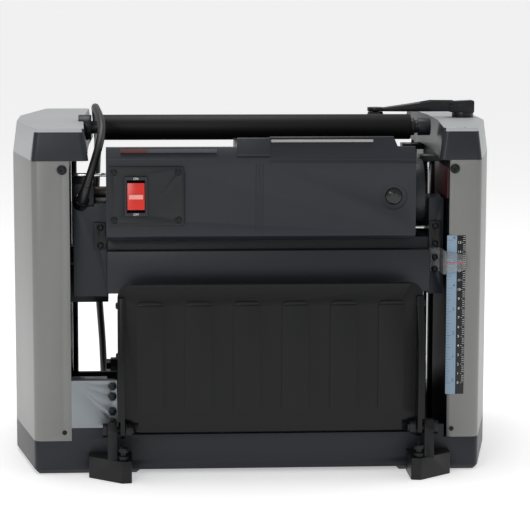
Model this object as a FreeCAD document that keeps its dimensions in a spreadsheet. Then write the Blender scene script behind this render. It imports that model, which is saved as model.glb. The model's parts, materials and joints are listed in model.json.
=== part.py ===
import FreeCAD, Part
import math
import os
import re

import Sketcher
from FreeCAD import Placement, Rotation, Vector

# A portable thickness planer. The cutting head climbs four posts between two side columns, moved by
# two lead screws. X runs across the work, +Y is the outfeed side and +Z is up. The origin lies on the
# floor, midway between the columns and midway front to back. Sizes are in millimetres.

os.makedirs("parts", exist_ok=True)
doc = FreeCAD.newDocument("ThicknessPlaner")

# ---------------------------------------------------------------- driving dimensions

SIZES = [
    ("work_width", 318, "widest board that passes between the head blocks"),
    ("work_centre", 12.5, "the work path's centre line, right of the middle of the machine"),
    ("left_gap", 49.5, "from the work path to the left column cover"),
    ("right_gap", 26.5, "from the work path to the right column cover"),
    ("left_cover_width", 38.3, "front face of the left column cover"),
    ("right_cover_width", 36.3, "front face of the right column cover"),
    ("flank_swell", 25.4, "how far a column's flank stands out beyond its front corner"),
    ("flank_length", 80, "straight middle stretch of a column's flank"),
    ("body_depth", 320, "base and columns, front to back"),
    ("corner_round", 9, "rounding of the upright corners"),
    ("base_height", 35.6, "base, up to the seam under the column covers"),
    ("base_wall", 7, "wall of the cast base"),
    ("base_foot_bevel", 5, "bevel along the bottom of the base"),
    ("shoulder_height", 49.5, "top of the base beside the bed"),
    ("apron_height", 41.5, "top of the base in front of the bed"),
    ("apron_lift", 4, "how far the middle of the base stands clear of the floor"),
    ("web_low", 20, "underside of the web that carries the posts"),
    ("web_thickness", 6, "web that carries the posts"),
    ("mount_across", 430, "mounting holes, left to right"),
    ("mount_along", 250, "mounting holes, front to back"),
    ("mount_radius", 4.2, "radius of a mounting hole"),
    ("mount_pad", 30, "side of a mounting pad"),
    ("bed_height", 61.5, "working surface of the bed"),
    ("bed_thickness", 10, "bed plate"),
    ("bed_overhang", 4, "bed plate beyond the front of the base"),
    ("column_height", 295.4, "column covers, seam to seam"),
    ("cover_sheet", 2, "sheet of the column covers"),
    ("frame_sheet", 3, "sheet of the side frames"),
    ("frame_inset", 10, "from the cover's face to the side frame's flange"),
    ("cap_height", 33.3, "top caps"),
    ("cap_wall", 3, "wall of a cap"),
    ("cap_taper", 7.5, "lean of a cap's sides, in degrees"),
    ("post_radius", 7, "guide posts"),
    ("post_spread", 75, "posts, from the middle to the front and rear"),
    ("left_post_setback", 11, "left posts, behind the cover's inner edge"),
    ("right_post_reach", 8, "right posts, inboard of the cover's inner edge"),
    ("bush_wall", 1.4, "wall of a post bush"),
    ("left_screw_setback", 42, "left lead screw, from the cover's inner edge"),
    ("right_screw_setback", 40, "right lead screw, from the cover's inner edge"),
    ("screw_radius", 7, "lead screws"),
    ("running_gap", 0.05, "clearance of a shaft in its bearing"),
    ("block_gap", 11.5, "from the work path to a head block"),
    ("block_width", 13, "left head block and the matching right one"),
    ("block_depth", 268, "head blocks, front to back"),
    ("cut_height", 129, "from the bed to the cutting circle, as shown"),
    ("cutter_radius", 24, "cutting circle"),
    ("feed_radius", 15, "feed rollers"),
    ("feed_spread", 48, "feed rollers, from the cutterhead's axis"),
    ("feed_drop", 1, "feed rollers below the cutting circle"),
    ("deck_height", 45, "front and rear crossbars of the head"),
    ("deck_sheet", 5, "wall of a crossbar"),
    ("casting_top", 247, "top of the head casting"),
    ("motor_forward", 104, "motor axis, in front of the middle"),
    ("motor_height", 293, "motor axis above the floor"),
    ("housing_top", 345, "top of the motor housing"),
    ("hood_top", 355, "top of the hood on the motor housing"),
    ("roller_radius", 13.8, "top roller"),
    ("roller_reach", 16.5, "top roller beyond the left of the work path"),
    ("roller_forward", 42, "top roller's axis, in front of the middle"),
    ("roller_height", 357, "top roller's axis above the floor"),
    ("table_width", 319, "folding tables"),
    ("table_length", 157, "folding tables, along the work"),
    ("table_sheet", 3, "plate of a folding table"),
    ("table_flange", 25.5, "depth of a table's side flange"),
    ("hinge_forward", 25, "table hinge, in front of the base"),
    ("hinge_drop", 9.5, "table hinge, below the bed surface"),
    ("hinge_radius", 4, "hinge bolts"),
    ("rib_width", 27.5, "pressed ribs of a table"),
    ("rib_length", 118, "pressed ribs of a table"),
    ("rib_pitch", 50.5, "from one rib to the next"),
    ("crank_reach", 84, "crank arm, from its folding pin to the knob"),
    ("knob_length", 27, "crank knob"),
    ("port_radius", 31.75, "outside of the dust port"),
    ("port_length", 34, "dust port"),
]
names = {alias for alias, _, _ in SIZES}
size = {alias: value for alias, value, _ in SIZES}

sheet = doc.addObject("Spreadsheet::Sheet", "Sizes")
for row, (alias, value, meaning) in enumerate(SIZES, 1):
    sheet.set(f"A{row}", meaning)
    sheet.set(f"B{row}", str(value))
    sheet.setAlias(f"B{row}", alias)
doc.recompute()

# ---------------------------------------------------------------- ways of making a piece


def rule(words):
    """A rule written in the sheet's words, as an expression on its cells."""
    return re.sub(r"[a-z_]+", lambda word: ("Sizes." if word.group() in names else "") + word.group(),
                  str(words))


def bind(thing, **rules):
    for prop, words in rules.items():
        thing.setExpression(prop, rule(words))


def place(thing, x="0", y="0", z="0", turn=None):
    thing.Placement = Placement(Vector(), turn or Rotation())
    for axis, words in (("x", x), ("y", y), ("z", z)):
        thing.setExpression(f"Placement.Base.{axis}", rule(words))
    return thing


def block(name, x, y, z):
    """A box from its low to its high limit on each axis."""
    box = doc.addObject("Part::Box", name)
    bind(box, Length=f"({x[1]}) - ({x[0]})", Width=f"({y[1]}) - ({y[0]})", Height=f"({z[1]}) - ({z[0]})")
    return place(box, x[0], y[0], z[0])


TURNS = {"x": Rotation(Vector(0, 1, 0), 90), "y": Rotation(Vector(1, 0, 0), -90), "z": Rotation()}


def spot(axis, along, across):
    """The x, y and z rules of a point: its place along an axis and its two places across it."""
    first, second = across
    return {"x": (along, first, second), "y": (first, along, second), "z": (first, second, along)}[axis]


def rod(name, axis, span, across, radius):
    """A cylinder along an axis, from the low to the high limit of its span."""
    cylinder = doc.addObject("Part::Cylinder", name)
    bind(cylinder, Radius=radius, Height=f"({span[1]}) - ({span[0]})")
    return place(cylinder, *spot(axis, span[0], across), TURNS[axis])


def hexagon(name, axis, span, across, radius):
    prism = doc.addObject("Part::Prism", name)
    prism.Polygon = 6
    bind(prism, Circumradius=radius, Height=f"({span[1]}) - ({span[0]})")
    return place(prism, *spot(axis, span[0], across), TURNS[axis])


def fuse(name, *pieces):
    joined = doc.addObject("Part::MultiFuse", name)
    joined.Shapes = list(pieces)
    return joined


def cut(name, base, *tools):
    trimmed = doc.addObject("Part::Cut", name)
    trimmed.Base = base
    trimmed.Tool = tools[0] if len(tools) == 1 else fuse(name + "_tools", *tools)
    return trimmed


def common(name, base, tool):
    shared = doc.addObject("Part::Common", name)
    shared.Base, shared.Tool = base, tool
    return shared


def group(name, *pieces):
    """Separate solids that share one node."""
    together = doc.addObject("Part::Compound", name)
    together.Links = list(pieces)
    return together


def copy(name, source, x="0", y="0", z="0", turn=None):
    link = doc.addObject("App::Link", name)
    link.LinkedObject = source
    return place(link, x, y, z, turn)


def mirrored(name, source, axis, about="0"):
    """A mirror image across the plane that stands square to an axis."""
    image = doc.addObject("Part::Mirroring", name)
    image.Source = source
    image.Normal = Vector(*[float(axis == letter) for letter in "xyz"])
    image.setExpression(f"Base.{axis}", rule(about))
    return image


def both_ends(name, source):
    """A piece at the front together with its mirror image at the rear."""
    return group(name, source, mirrored(name + "_rear", source, "y"))


PLANES = {"xy": "XY_Plane", "xz": "XZ_Plane", "yz": "YZ_Plane"}


def outline(body, plane, points):
    """A closed sketch through points whose two coordinates follow rules."""
    sketch = body.newObject("Sketcher::SketchObject", body.Name + "_outline")
    base_plane = next(item for item in body.Origin.OriginFeatures if item.Role == PLANES[plane])
    sketch.AttachmentSupport = [(base_plane, "")]
    sketch.MapMode = "FlatFace"
    count = len(points)
    ring = [Vector(math.cos(2 * math.pi * step / count), math.sin(2 * math.pi * step / count), 0) * 50
            for step in range(count)]
    for step in range(count):
        sketch.addGeometry(Part.LineSegment(ring[step], ring[(step + 1) % count]))
    for step in range(count):
        sketch.addConstraint(Sketcher.Constraint("Coincident", step, 2, (step + 1) % count, 1))
    for step, point in enumerate(points):
        for kind, words, start in zip(("DistanceX", "DistanceY"), point, ring[step]):
            index = sketch.addConstraint(Sketcher.Constraint(kind, -1, 1, step, 1, start))
            sketch.setExpression(f"Constraints[{index}]", rule(words))
    return sketch


def profile(name, plane, span, points, taper=None):
    """A flat outline pushed through a span along the plane's normal."""
    body = doc.addObject("PartDesign::Body", name)
    pad = body.newObject("PartDesign::Pad", name + "_pad")
    pad.Profile = outline(body, plane, points)
    bind(pad, Length=f"({span[1]}) - ({span[0]})")
    if taper:
        bind(pad, TaperAngle=taper)
    if plane == "xz":
        return place(body, y=span[1])
    return place(body, z=span[0]) if plane == "xy" else place(body, x=span[0])


def turned(name, axis, across, points):
    """A turned piece: points of radius and place along the axis, closed along the axis."""
    body = doc.addObject("PartDesign::Body", name)
    sketch = outline(body, "xz", points)
    revolution = body.newObject("PartDesign::Revolution", name + "_turned")
    revolution.Profile = sketch
    revolution.ReferenceAxis = (sketch, ["V_Axis"])
    revolution.Angle = 360
    return place(body, *spot(axis, "0", across), TURNS[axis])


def soften(body, radius, direction, keep=lambda middle: True, kind="Fillet"):
    """Rounds or bevels a body's straight edges that run one way and pass the keep test."""
    doc.recompute()
    tip = body.Tip
    picked = []
    for number, edge in enumerate(tip.Shape.Edges, 1):
        ends = edge.Vertexes[-1].Point - edge.Vertexes[0].Point
        straight = ends.Length > 0.999 * edge.Length
        if straight and abs(ends.normalize().dot(direction)) > 0.95 and keep(edge.CenterOfMass):
            picked.append(f"Edge{number}")
    feature = body.newObject(f"PartDesign::{kind}", f"{body.Name}_{kind.lower()}")
    feature.Base = (tip, picked)
    bind(feature, **{"Radius" if kind == "Fillet" else "Size": radius})
    return body


ALONG_X, ALONG_Y, ALONG_Z = Vector(1, 0, 0), Vector(0, 1, 0), Vector(0, 0, 1)
nodes = []


def node(name, thing):
    """Names a finished sub-part, so that it is checked and written to its own file."""
    thing.Label = name
    nodes.append(thing)
    return thing


def machine_screw(name, head_radius, head_height, shank_radius, length):
    """A pan-head cross-slot screw: its head above z = 0 and its shank below."""
    head = turned(name + "_head", "z", ("0", "0"),
                  [("0", f"-({length})"), (shank_radius, f"-({length})"), (shank_radius, "0"),
                   (head_radius, "0"), (head_radius, f"({head_height}) * 0.45"),
                   (f"({head_radius}) * 0.6", head_height), ("0", head_height)])
    slots = [block(f"{name}_slot_{way}", x, y, (f"({head_height}) * 0.4", f"({head_height}) + 1"))
             for way, x, y in (
                 ("long", (f"-({head_radius}) * 0.5", f"({head_radius}) * 0.5"), ("-0.5", "0.5")),
                 ("cross", ("-0.5", "0.5"), (f"-({head_radius}) * 0.5", f"({head_radius}) * 0.5")))]
    return cut(name, head, *slots)


def hex_bolt(name, head_radius, head_height, shank_radius, length):
    """A hexagon bolt: its head above z = 0 and its shank below."""
    head = hexagon(name + "_head", "z", ("0", head_height), ("0", "0"), head_radius)
    shank = rod(name + "_shank", "z", (f"-({length})", "0"), ("0", "0"), shank_radius)
    return fuse(name, head, shank)


def loop_band(name, axis, span, wheel, far_wheel, slack, thickness):
    """A belt or chain: the band round two wheels, each given by its two places and its radius."""
    def hull(grow):
        one, two = (Vector(first, second, 0) for first, second, _ in (wheel, far_wheel))
        near, far = wheel[2] + slack + grow, far_wheel[2] + slack + grow
        reach = (two - one).Length
        lean = math.acos((near - far) / reach)
        heading = math.atan2(two.y - one.y, two.x - one.x)
        corner = [centre + Vector(math.cos(heading + side * lean), math.sin(heading + side * lean),
                                  0) * radius for centre, radius,
                  side in ((one, near, 1), (two, far, 1), (two, far, -1), (one, near, -1))]
        ahead = two + Vector(math.cos(heading), math.sin(heading), 0) * far
        behind = one - Vector(math.cos(heading), math.sin(heading), 0) * near
        wire = Part.Wire([Part.LineSegment(corner[0], corner[1]).toShape(),
                          Part.Arc(corner[1], ahead, corner[2]).toShape(),
                          Part.LineSegment(corner[2], corner[3]).toShape(),
                          Part.Arc(corner[3], behind, corner[0]).toShape()])
        return Part.Face(wire).extrude(Vector(0, 0, span[1] - span[0]))

    band = doc.addObject("Part::Feature", name)
    band.Shape = hull(thickness).cut(hull(0))
    upright = Rotation() if axis == "z" else Rotation(Vector(1, 1, 1), 120)
    base = Vector(0, 0, span[0]) if axis == "z" else Vector(span[0], 0, 0)
    band.Placement = Placement(base, upright)
    return band


# ---------------------------------------------------------------- places that several pieces share

WORK_LEFT = "(work_centre - work_width / 2)"
WORK_RIGHT = "(work_centre + work_width / 2)"
FRONT, REAR = "(-body_depth / 2)", "(body_depth / 2)"
INNER = {"left": f"({WORK_LEFT} - left_gap)", "right": f"({WORK_RIGHT} + right_gap)"}
OUTER = {"left": f"({INNER['left']} - left_cover_width)", "right": f"({INNER['right']} + right_cover_width)"}
FLANK = {"left": f"({OUTER['left']} - flank_swell)", "right": f"({OUTER['right']} + flank_swell)"}
POST = {"left": f"({INNER['left']} - left_post_setback)", "right": f"({INNER['right']} - right_post_reach)"}
SCREW = {"left": f"({INNER['left']} - left_screw_setback)",
         "right": f"({INNER['right']} + right_screw_setback)"}
BLOCK = {"left": f"({WORK_LEFT} - block_gap)", "right": f"({WORK_RIGHT} + block_gap)"}
OUTWARD = {"left": "-", "right": "+"}
INWARD = {"left": "+", "right": "-"}
SIDES = ("left", "right")

WEB_TOP = "(web_low + web_thickness)"
BED_UNDER = "(bed_height - bed_thickness)"
COLUMN_TOP = "(base_height + column_height)"
CAP_TOP = "(base_height + column_height + cap_height)"
CUT_CIRCLE = "(bed_height + cut_height)"
CUTTER_AXIS = f"({CUT_CIRCLE} + cutter_radius)"
FEED_AXIS = f"({CUT_CIRCLE} - feed_drop + feed_radius)"
BLOCK_FRONT, BLOCK_REAR = "(-block_depth / 2)", "(block_depth / 2)"
HINGE_Y = f"({FRONT} - hinge_forward)"
HINGE_Z = "(bed_height - hinge_drop)"
PLATE_TOP = f"({COLUMN_TOP} - 2)"
PLATE_UNDER = f"({PLATE_TOP} - 2 * frame_sheet)"
TABLE_LEFT, TABLE_RIGHT = "(work_centre - table_width / 2)", "(work_centre + table_width / 2)"
EAR = (f"({TABLE_LEFT} - 11)", f"({TABLE_LEFT} - 1)")
STOP = (f"({TABLE_LEFT} + 5)", f"({HINGE_Y} - 12)")
BRACKET_BOLTS = [(f"({EAR[0]} - 8)", "12"), (f"({STOP[0]} + 3)", "12")]


def span_of(side, start, near, far):
    """The low and high limits of a stretch that starts near and ends far outward of a place."""
    one = f"({start}) {OUTWARD[side]} ({near})"
    two = f"({start}) {OUTWARD[side]} ({far})"
    return (two, one) if side == "left" else (one, two)


def column_plan(side, inner, inset="0", inner_mid=None):
    """Plan of a column: square at its inner edge and swelling outward at mid depth."""
    trim = INWARD[side]
    corner, flank = f"{OUTER[side]} {trim} ({inset})", f"{FLANK[side]} {trim} ({inset})"
    front, rear = f"{FRONT} + ({inset})", f"{REAR} - ({inset})"
    points = [(inner, front), (corner, front), (flank, "-flank_length / 2"), (flank, "flank_length / 2"),
              (corner, rear), (inner, rear)]
    if inner_mid:
        points += [(inner_mid, "flank_length / 2"), (inner_mid, "-flank_length / 2")]
    return points


def round_corners(body, side, radius="corner_round"):
    """Rounds a column's two upright outer corners and eases its flank."""
    limit = size["body_depth"] / 2 - 3 * size["corner_round"]
    sign = -1 if side == "left" else 1
    half = abs(size["work_width"] / 2 + size["left_gap"]) - abs(size["work_centre"])
    return soften(body, radius, ALONG_Z, lambda m: abs(m.y) > limit and sign * m.x > half)


# ---------------------------------------------------------------- base

base_plan = [(OUTER["left"], FRONT), (OUTER["right"], FRONT), (FLANK["right"], "-flank_length / 2"),
             (FLANK["right"], "flank_length / 2"), (OUTER["right"], REAR), (OUTER["left"], REAR),
             (FLANK["left"], "flank_length / 2"), (FLANK["left"], "-flank_length / 2")]
base_shell = profile("base_shell", "xy", ("0", "base_height"), base_plan)
doc.recompute()
foot_bevel = base_shell.newObject("PartDesign::Chamfer", "base_shell_foot")
foot_bevel.Base = (base_shell.Group[0],
                   [f"Edge{number}" for number, edge in enumerate(base_shell.Group[0].Shape.Edges, 1)
                    if edge.BoundBox.ZMax < 0.01])
bind(foot_bevel, Size="base_foot_bevel")
soften(base_shell, "corner_round", ALONG_Z, lambda m: abs(m.y) > size["body_depth"] / 2 - 1)


def base_cavity(name, low, high):
    wall = "base_wall"
    left, right = f"{OUTER['left']} + {wall}", f"{OUTER['right']} - {wall}"
    far_left, far_right = f"{FLANK['left']} + {wall}", f"{FLANK['right']} - {wall}"
    front, rear = f"{FRONT} + {wall}", f"{REAR} - {wall}"
    return profile(name, "xy", (low, high), [
        (left, front), (right, front), (far_right, "-flank_length / 2"), (far_right, "flank_length / 2"),
        (right, rear), (left, rear), (far_left, "flank_length / 2"), (far_left, "-flank_length / 2")])


step_left, step_right = f"{WORK_LEFT} - 4", f"{WORK_RIGHT} + 4"
shoulder = profile("shoulder", "xz", (FRONT, REAR), [
    (INNER["left"], "base_height - 6"), (INNER["left"], "shoulder_height"), (step_left, "shoulder_height"),
    (step_left, "apron_height"), (step_right, "apron_height"), (step_right, "shoulder_height"),
    (INNER["right"], "shoulder_height"), (INNER["right"], "base_height - 6")])
notch_left, notch_right = f"{WORK_LEFT} + 18", f"{WORK_RIGHT} - 20"
notch = profile("apron_notch", "xz", (f"{FRONT} - 1", f"{REAR} + 1"), [
    (f"{notch_left} - 2", "-2"), (f"{notch_left} + apron_lift", "apron_lift"),
    (f"{notch_right} - apron_lift", "apron_lift"), (f"{notch_right} + 2", "-2")])
pedestal = block("bed_pedestal", (WORK_LEFT, WORK_RIGHT), (f"{FRONT} + base_wall", f"{REAR} - base_wall"),
                 ("web_low", BED_UNDER))
pedestal_hollow = block("pedestal_hollow", (f"{WORK_LEFT} + base_wall", f"{WORK_RIGHT} - base_wall"),
                        (f"{FRONT} + 2 * base_wall", f"{REAR} - 2 * base_wall"),
                        ("-1", f"{BED_UNDER} - web_thickness"))
mount_pads = [block(f"mount_pad_{index}", (f"{x} - mount_pad / 2", f"{x} + mount_pad / 2"),
                    (f"{y} - mount_pad / 2", f"{y} + mount_pad / 2"), ("0", "web_low + 1"))
              for index, (x, y) in enumerate(
                  (x, y) for x in ("-mount_across / 2", "mount_across / 2")
                  for y in ("-mount_along / 2", "mount_along / 2"))]
mount_holes = [rod(f"mount_hole_{index}", "z", ("-1", f"{WEB_TOP} + 1"), (x, y), "mount_radius")
               for index, (x, y) in enumerate(
                   (x, y) for x in ("-mount_across / 2", "mount_across / 2")
                   for y in ("-mount_along / 2", "mount_along / 2"))]
post_seats = [rod(f"post_seat_{side}_{index}", "z", ("web_low - 1", f"{WEB_TOP} + 1"), (POST[side], y),
                  "post_radius") for side in SIDES for index,
              y in enumerate(("-post_spread", "post_spread"))]
bolt_holes = [rod(f"base_bolt_hole_{index}", "y", (f"{FRONT} - 1", f"{REAR} + 1"), (x, "12"), "3")
              for index, x in enumerate(place_x for left_x, _ in BRACKET_BOLTS
                                        for place_x in (left_x, f"2 * work_centre - {left_x}"))]
screw_seats = [rod(f"screw_seat_{side}", "z", ("web_low - 1", f"{WEB_TOP} + 1"), (SCREW[side], "0"),
                   "screw_radius + 4") for side in SIDES]
walls = cut("base_walls", fuse("base_blank", base_shell, shoulder),
            base_cavity("upper_cavity", WEB_TOP, "shoulder_height + 1"),
            base_cavity("lower_cavity", "-1", "web_low"))
node("base_frame", cut("base", fuse("base_solid", walls, pedestal, *mount_pads),
                       pedestal_hollow, notch, *mount_holes, *post_seats, *screw_seats, *bolt_holes))

bed = profile("bed", "xy", (BED_UNDER, "bed_height"), [
    (WORK_LEFT, f"{FRONT} - bed_overhang"), (WORK_RIGHT, f"{FRONT} - bed_overhang"),
    (WORK_RIGHT, f"{REAR} + bed_overhang"), (WORK_LEFT, f"{REAR} + bed_overhang")])
soften(bed, "3", ALONG_X, lambda m: m.z > size["bed_thickness"] / 2)
node("bed_plate", bed)

# The bright angle between the left column and the bed, with the black bolts that hold it.
RAIL_TOP = "(bed_height + 38.5)"
rail_end = f"{WORK_LEFT} - 1.5"
rail_shelf_z = (f"{RAIL_TOP} - 3", RAIL_TOP)
rail = fuse("rail", block("rail_face", (INNER["left"], rail_end), (FRONT, f"{FRONT} + 3"),
                          ("shoulder_height", RAIL_TOP)),
            block("rail_shelf", (INNER["left"], f"{BLOCK['left']} - 0.8"), (FRONT, f"{FRONT} + 24"),
                  rail_shelf_z), block("rail_shelf_end", (INNER["left"], rail_end), (FRONT, f"{FRONT} + 9"),
                                       rail_shelf_z))
rail_bolt = hex_bolt("rail_bolt", "4.4", "4", "2.4", "6")
facing_front = Rotation(Vector(1, 0, 0), 90)
RAIL_BOLT_X = f"{WORK_LEFT} - 6.5"
rail_bolt_heights = [f"{RAIL_TOP} - {drop}" for drop in (6, 17, 33, 44)]
node("front_rail", cut("drilled_rail", rail, *[
    rod(f"rail_hole_{index}", "y", (f"{FRONT} - 1", f"{FRONT} + 4"), (RAIL_BOLT_X, height), "2.5")
    for index, height in enumerate(rail_bolt_heights)]))
rail_bolts = [copy(f"rail_bolt_{index}", rail_bolt, RAIL_BOLT_X, FRONT, height, facing_front)
              for index, height in enumerate(rail_bolt_heights)]

# ---------------------------------------------------------------- side columns

COVER_SCREWS = {"left": f"({INNER['left']} - 7.5)", "right": f"({INNER['right']} + 8.2)"}
COVER_SCREW_Z = f"({COLUMN_TOP} - 9)"
LOW_SCREW_Z = "(base_height + 9)"
cover_screw = machine_screw("cover_screw", "5", "3", "2.4", "frame_inset + frame_sheet")
small_screw = machine_screw("small_screw", "2.4", "1.2", "1.4", "frame_inset + frame_sheet")
facing = {"front": Rotation(Vector(1, 0, 0), 90), "rear": Rotation(Vector(1, 0, 0), -90)}
faces = {"front": FRONT, "rear": REAR}
screws, side_frames = [], []
for side in SIDES:
    skin = round_corners(profile(f"cover_skin_{side}", "xy", ("base_height", COLUMN_TOP),
                                 column_plan(side, INNER[side])), side)
    hollow_inner = f"{INNER[side]} {INWARD[side]} 5"
    hollow = round_corners(profile(f"cover_hollow_{side}", "xy", ("base_height - 1", f"{COLUMN_TOP} + 1"),
                                   column_plan(side, hollow_inner, "cover_sheet")), side,
                           "corner_round - cover_sheet")
    holes = []
    for height, label, radius in ((COVER_SCREW_Z, "high", "2.5"), (LOW_SCREW_Z, "low", "1.5")):
        holes.append(rod(f"cover_hole_{side}_{label}", "y", (f"{FRONT} - 1", f"{REAR} + 1"),
                         (COVER_SCREWS[side], height), radius))
        source = cover_screw if label == "high" else small_screw
        for end in ("front", "rear"):
            screws.append(copy(f"cover_screw_{side}_{label}_{end}", source,
                               COVER_SCREWS[side], faces[end], height, facing[end]))
    node(f"side_cover_{side}", cut(f"cover_{side}", skin, hollow, *holes))

    # The black channel inside the cover. Its web has a slot for the arm of the lead screw's nut.
    frame_web = {"left": f"({INNER['left']} - 23)", "right": f"({INNER['right']} + 5)"}[side]
    web_span = span_of(side, frame_web, "0", "frame_sheet")
    flange_y = f"({FRONT} + frame_inset)"
    if side == "left":
        flange_x = (f"{frame_web}", f"{INNER['left']} - 1")
        top_inner = f"{POST['left']} + post_radius + 3"
    else:
        flange_x = (f"{frame_web}", f"{frame_web} + 24")
        top_inner = frame_web
    half_web = f"{REAR} - frame_inset"
    web = block(f"frame_web_{side}", web_span, (f"-({half_web})", half_web), (WEB_TOP, PLATE_UNDER))
    flange = block(f"frame_flange_{side}", flange_x, (flange_y, f"{flange_y} + frame_sheet"),
                   (WEB_TOP, PLATE_TOP))
    foot = block(f"frame_foot_{side}", span_of(side, frame_web, "0", "18"), ("-100", "100"),
                 (WEB_TOP, f"{WEB_TOP} + 4"))
    trim = INWARD[side]
    head_plate = profile(f"frame_head_{side}", "xy", (PLATE_UNDER, PLATE_TOP), [
        (top_inner, f"{FRONT} + 15"), (f"{OUTER[side]} {trim} 6", f"{FRONT} + 15"),
        (f"{FLANK[side]} {trim} 6", "-flank_length / 2"), (f"{FLANK[side]} {trim} 6", "flank_length / 2"),
        (f"{OUTER[side]} {trim} 6", f"{REAR} - 15"), (top_inner, f"{REAR} - 15")])
    lugs = [block(f"post_lug_{side}_{index}", (f"{POST[side]} - 11", f"{POST[side]} + 17"),
                  (f"{y} - 12", f"{y} + 12"), (PLATE_UNDER, PLATE_TOP))
            for index, y in enumerate(("-post_spread", "post_spread"))] if side == "right" else []
    openings = [block(f"nut_slot_{side}", (f"{frame_web} - 8", f"{frame_web} + 8"), ("-12", "12"),
                      (f"{WEB_TOP} + 4", f"{PLATE_UNDER} - 1")),
                rod(f"screw_bore_{side}_low", "z", (f"{WEB_TOP} - 1", f"{WEB_TOP} + 5"), (SCREW[side], "0"),
                    "screw_radius + 6"), rod(f"screw_bore_{side}_high", "z",
                                             (f"{PLATE_UNDER} - 1", f"{PLATE_TOP} + 1"), (SCREW[side], "0"),
                                             "screw_radius + 4"),
                *[rod(f"post_bore_{side}_{index}", "z", (f"{PLATE_UNDER} - 1", f"{PLATE_TOP} + 1"),
                      (POST[side], y), "post_radius") for index,
                  y in enumerate(("-post_spread", "post_spread"))],
                *[rod(f"flange_hole_{side}_{label}", "y", (f"{FRONT} - 1", f"{REAR} + 1"),
                      (COVER_SCREWS[side], height), radius) for height, label,
                  radius in ((COVER_SCREW_Z, "high", "2.5"), (LOW_SCREW_Z, "low", "1.5"))]]
    side_frames.append(cut(f"frame_{side}",
                           fuse(f"frame_blank_{side}", web, flange,
                                mirrored(f"frame_rear_flange_{side}", flange, "y"), foot, head_plate,
                                *lugs), *openings))
node("side_frames", group("side_frame_pair", *side_frames))
node("cover_screws", group("cover_screw_set", *screws))

# The maroon shield on the drive side, at the top of the right frame's web.
node("drive_shield", block("shield", (f"{INNER['right']} + 2.5", f"{INNER['right']} + 5"),
                           (f"{FRONT} + 14", "-post_spread + 30"),
                           (f"{COLUMN_TOP} - 42", f"{PLATE_UNDER} - 1")))

# ---------------------------------------------------------------- caps

CAP_INNER = {"left": (f"({INNER['left']} + 20)", f"({INNER['left']} + 17)"),
             "right": (f"({INNER['right']} - 8)", f"({INNER['right']} + 2)")}
ROLLER = ("-roller_forward", "roller_height")
cap_solids = {}
for side in SIDES:
    inner, inner_mid = CAP_INNER[side]
    solid = profile(f"cap_solid_{side}", "xy", (COLUMN_TOP, CAP_TOP),
                    column_plan(side, inner, "0", inner_mid), "-cap_taper")
    soften(solid, "6", ALONG_Z, lambda m: abs(m.y) > size["body_depth"] / 2 - 8)
    cap_solids[side] = solid
    trim = f"{inner} {OUTWARD[side]} cap_wall"
    trim_mid = f"{inner_mid} {OUTWARD[side]} cap_wall"
    void = profile(f"cap_void_{side}", "xy", (f"{COLUMN_TOP} - 0.01", f"{CAP_TOP} - cap_wall"),
                   column_plan(side, trim, "cap_wall", trim_mid), "-cap_taper")
    stem = rod(f"cap_stem_hole_{side}", "z", (COLUMN_TOP, f"{CAP_TOP} + 1"), (SCREW[side], "0"),
               "screw_radius + 2")
    grip_x = f"{OUTER[side]} {INWARD[side]} 21"
    grip = rod(f"cap_grip_{side}", "x", (f"{grip_x} - 5", f"{grip_x} + 5"),
               (f"{FRONT} + 10", f"{CAP_TOP} + 6"), "8")
    openings = [void, grip] + ([stem] if side == "right" else [])
    shell = cut(f"cap_shell_{side}", solid, *openings)
    inner_band = span_of(side, inner, "-6", "6.5")
    zone_top = f"{CAP_TOP} - cap_wall - 0.6"
    far_x = f"{FLANK[side]} {OUTWARD[side]} 5"
    wide = (far_x, f"{inner} + 6") if side == "left" else (f"{inner} - 6", far_x)
    zone = fuse(f"fascia_zone_{side}",
                block(f"fascia_front_{side}", wide, (f"{FRONT} - 5", f"{FRONT} + 9"),
                      (f"{COLUMN_TOP} - 1", zone_top)),
                block(f"fascia_rear_{side}", wide, (f"{REAR} - 9", f"{REAR} + 5"),
                      (f"{COLUMN_TOP} - 1", zone_top)),
                block(f"fascia_inner_{side}", inner_band, (FRONT, REAR), (f"{COLUMN_TOP} - 1", zone_top)))
    node(f"cap_{side}", cut(f"cap_top_{side}", shell, zone))
    fascia = common(f"fascia_{side}", shell, zone)
    if side == "left":
        belt_way = block("belt_way", (f"{inner} - 12", f"{inner} + 6"),
                         (f"{BLOCK_FRONT} - 4", "-motor_forward + 36"),
                         (f"{COLUMN_TOP} - 1", f"{COLUMN_TOP} + 13"))
        fascia = cut("fascia_left_open", fascia, belt_way)
    node(f"cap_fascia_{side}", fascia)

# ---------------------------------------------------------------- top roller

roller_ends = (f"({WORK_LEFT} - roller_reach)", f"({WORK_RIGHT} + 2)")
bracket_faces = {"left": f"({roller_ends[0]} - 11.5)", "right": f"({roller_ends[1]} + 8)"}
boss_length, boss_radius = {"left": "11", "right": "7.5"}, {"left": "roller_radius", "right": "9.5"}
roller_bosses = []
for side in SIDES:
    face, tip = bracket_faces[side], f"({roller_ends[SIDES.index(side)]} {OUTWARD[side]} 0.5)"
    disc = rod(f"roller_boss_{side}", "x", span_of(side, face, "0", "14"), ROLLER, boss_radius[side])
    wide = rod(f"roller_step_{side}", "x", span_of(side, tip, "0", "4"), ROLLER, "9.5")
    narrow = rod(f"roller_neck_{side}", "x", span_of(side, tip, "0", f"{boss_length[side]} + 1"), ROLLER, "7")
    bore = rod(f"roller_boss_bore_{side}", "x", span_of(side, face, "-12", "7"), ROLLER, "5")
    roller_bosses.append(cut(f"roller_bracket_{side}",
                             fuse(f"roller_bracket_blank_{side}", disc, wide, narrow), cap_solids[side],
                             bore))
node("roller_brackets", group("roller_bracket_pair", *roller_bosses))
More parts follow.
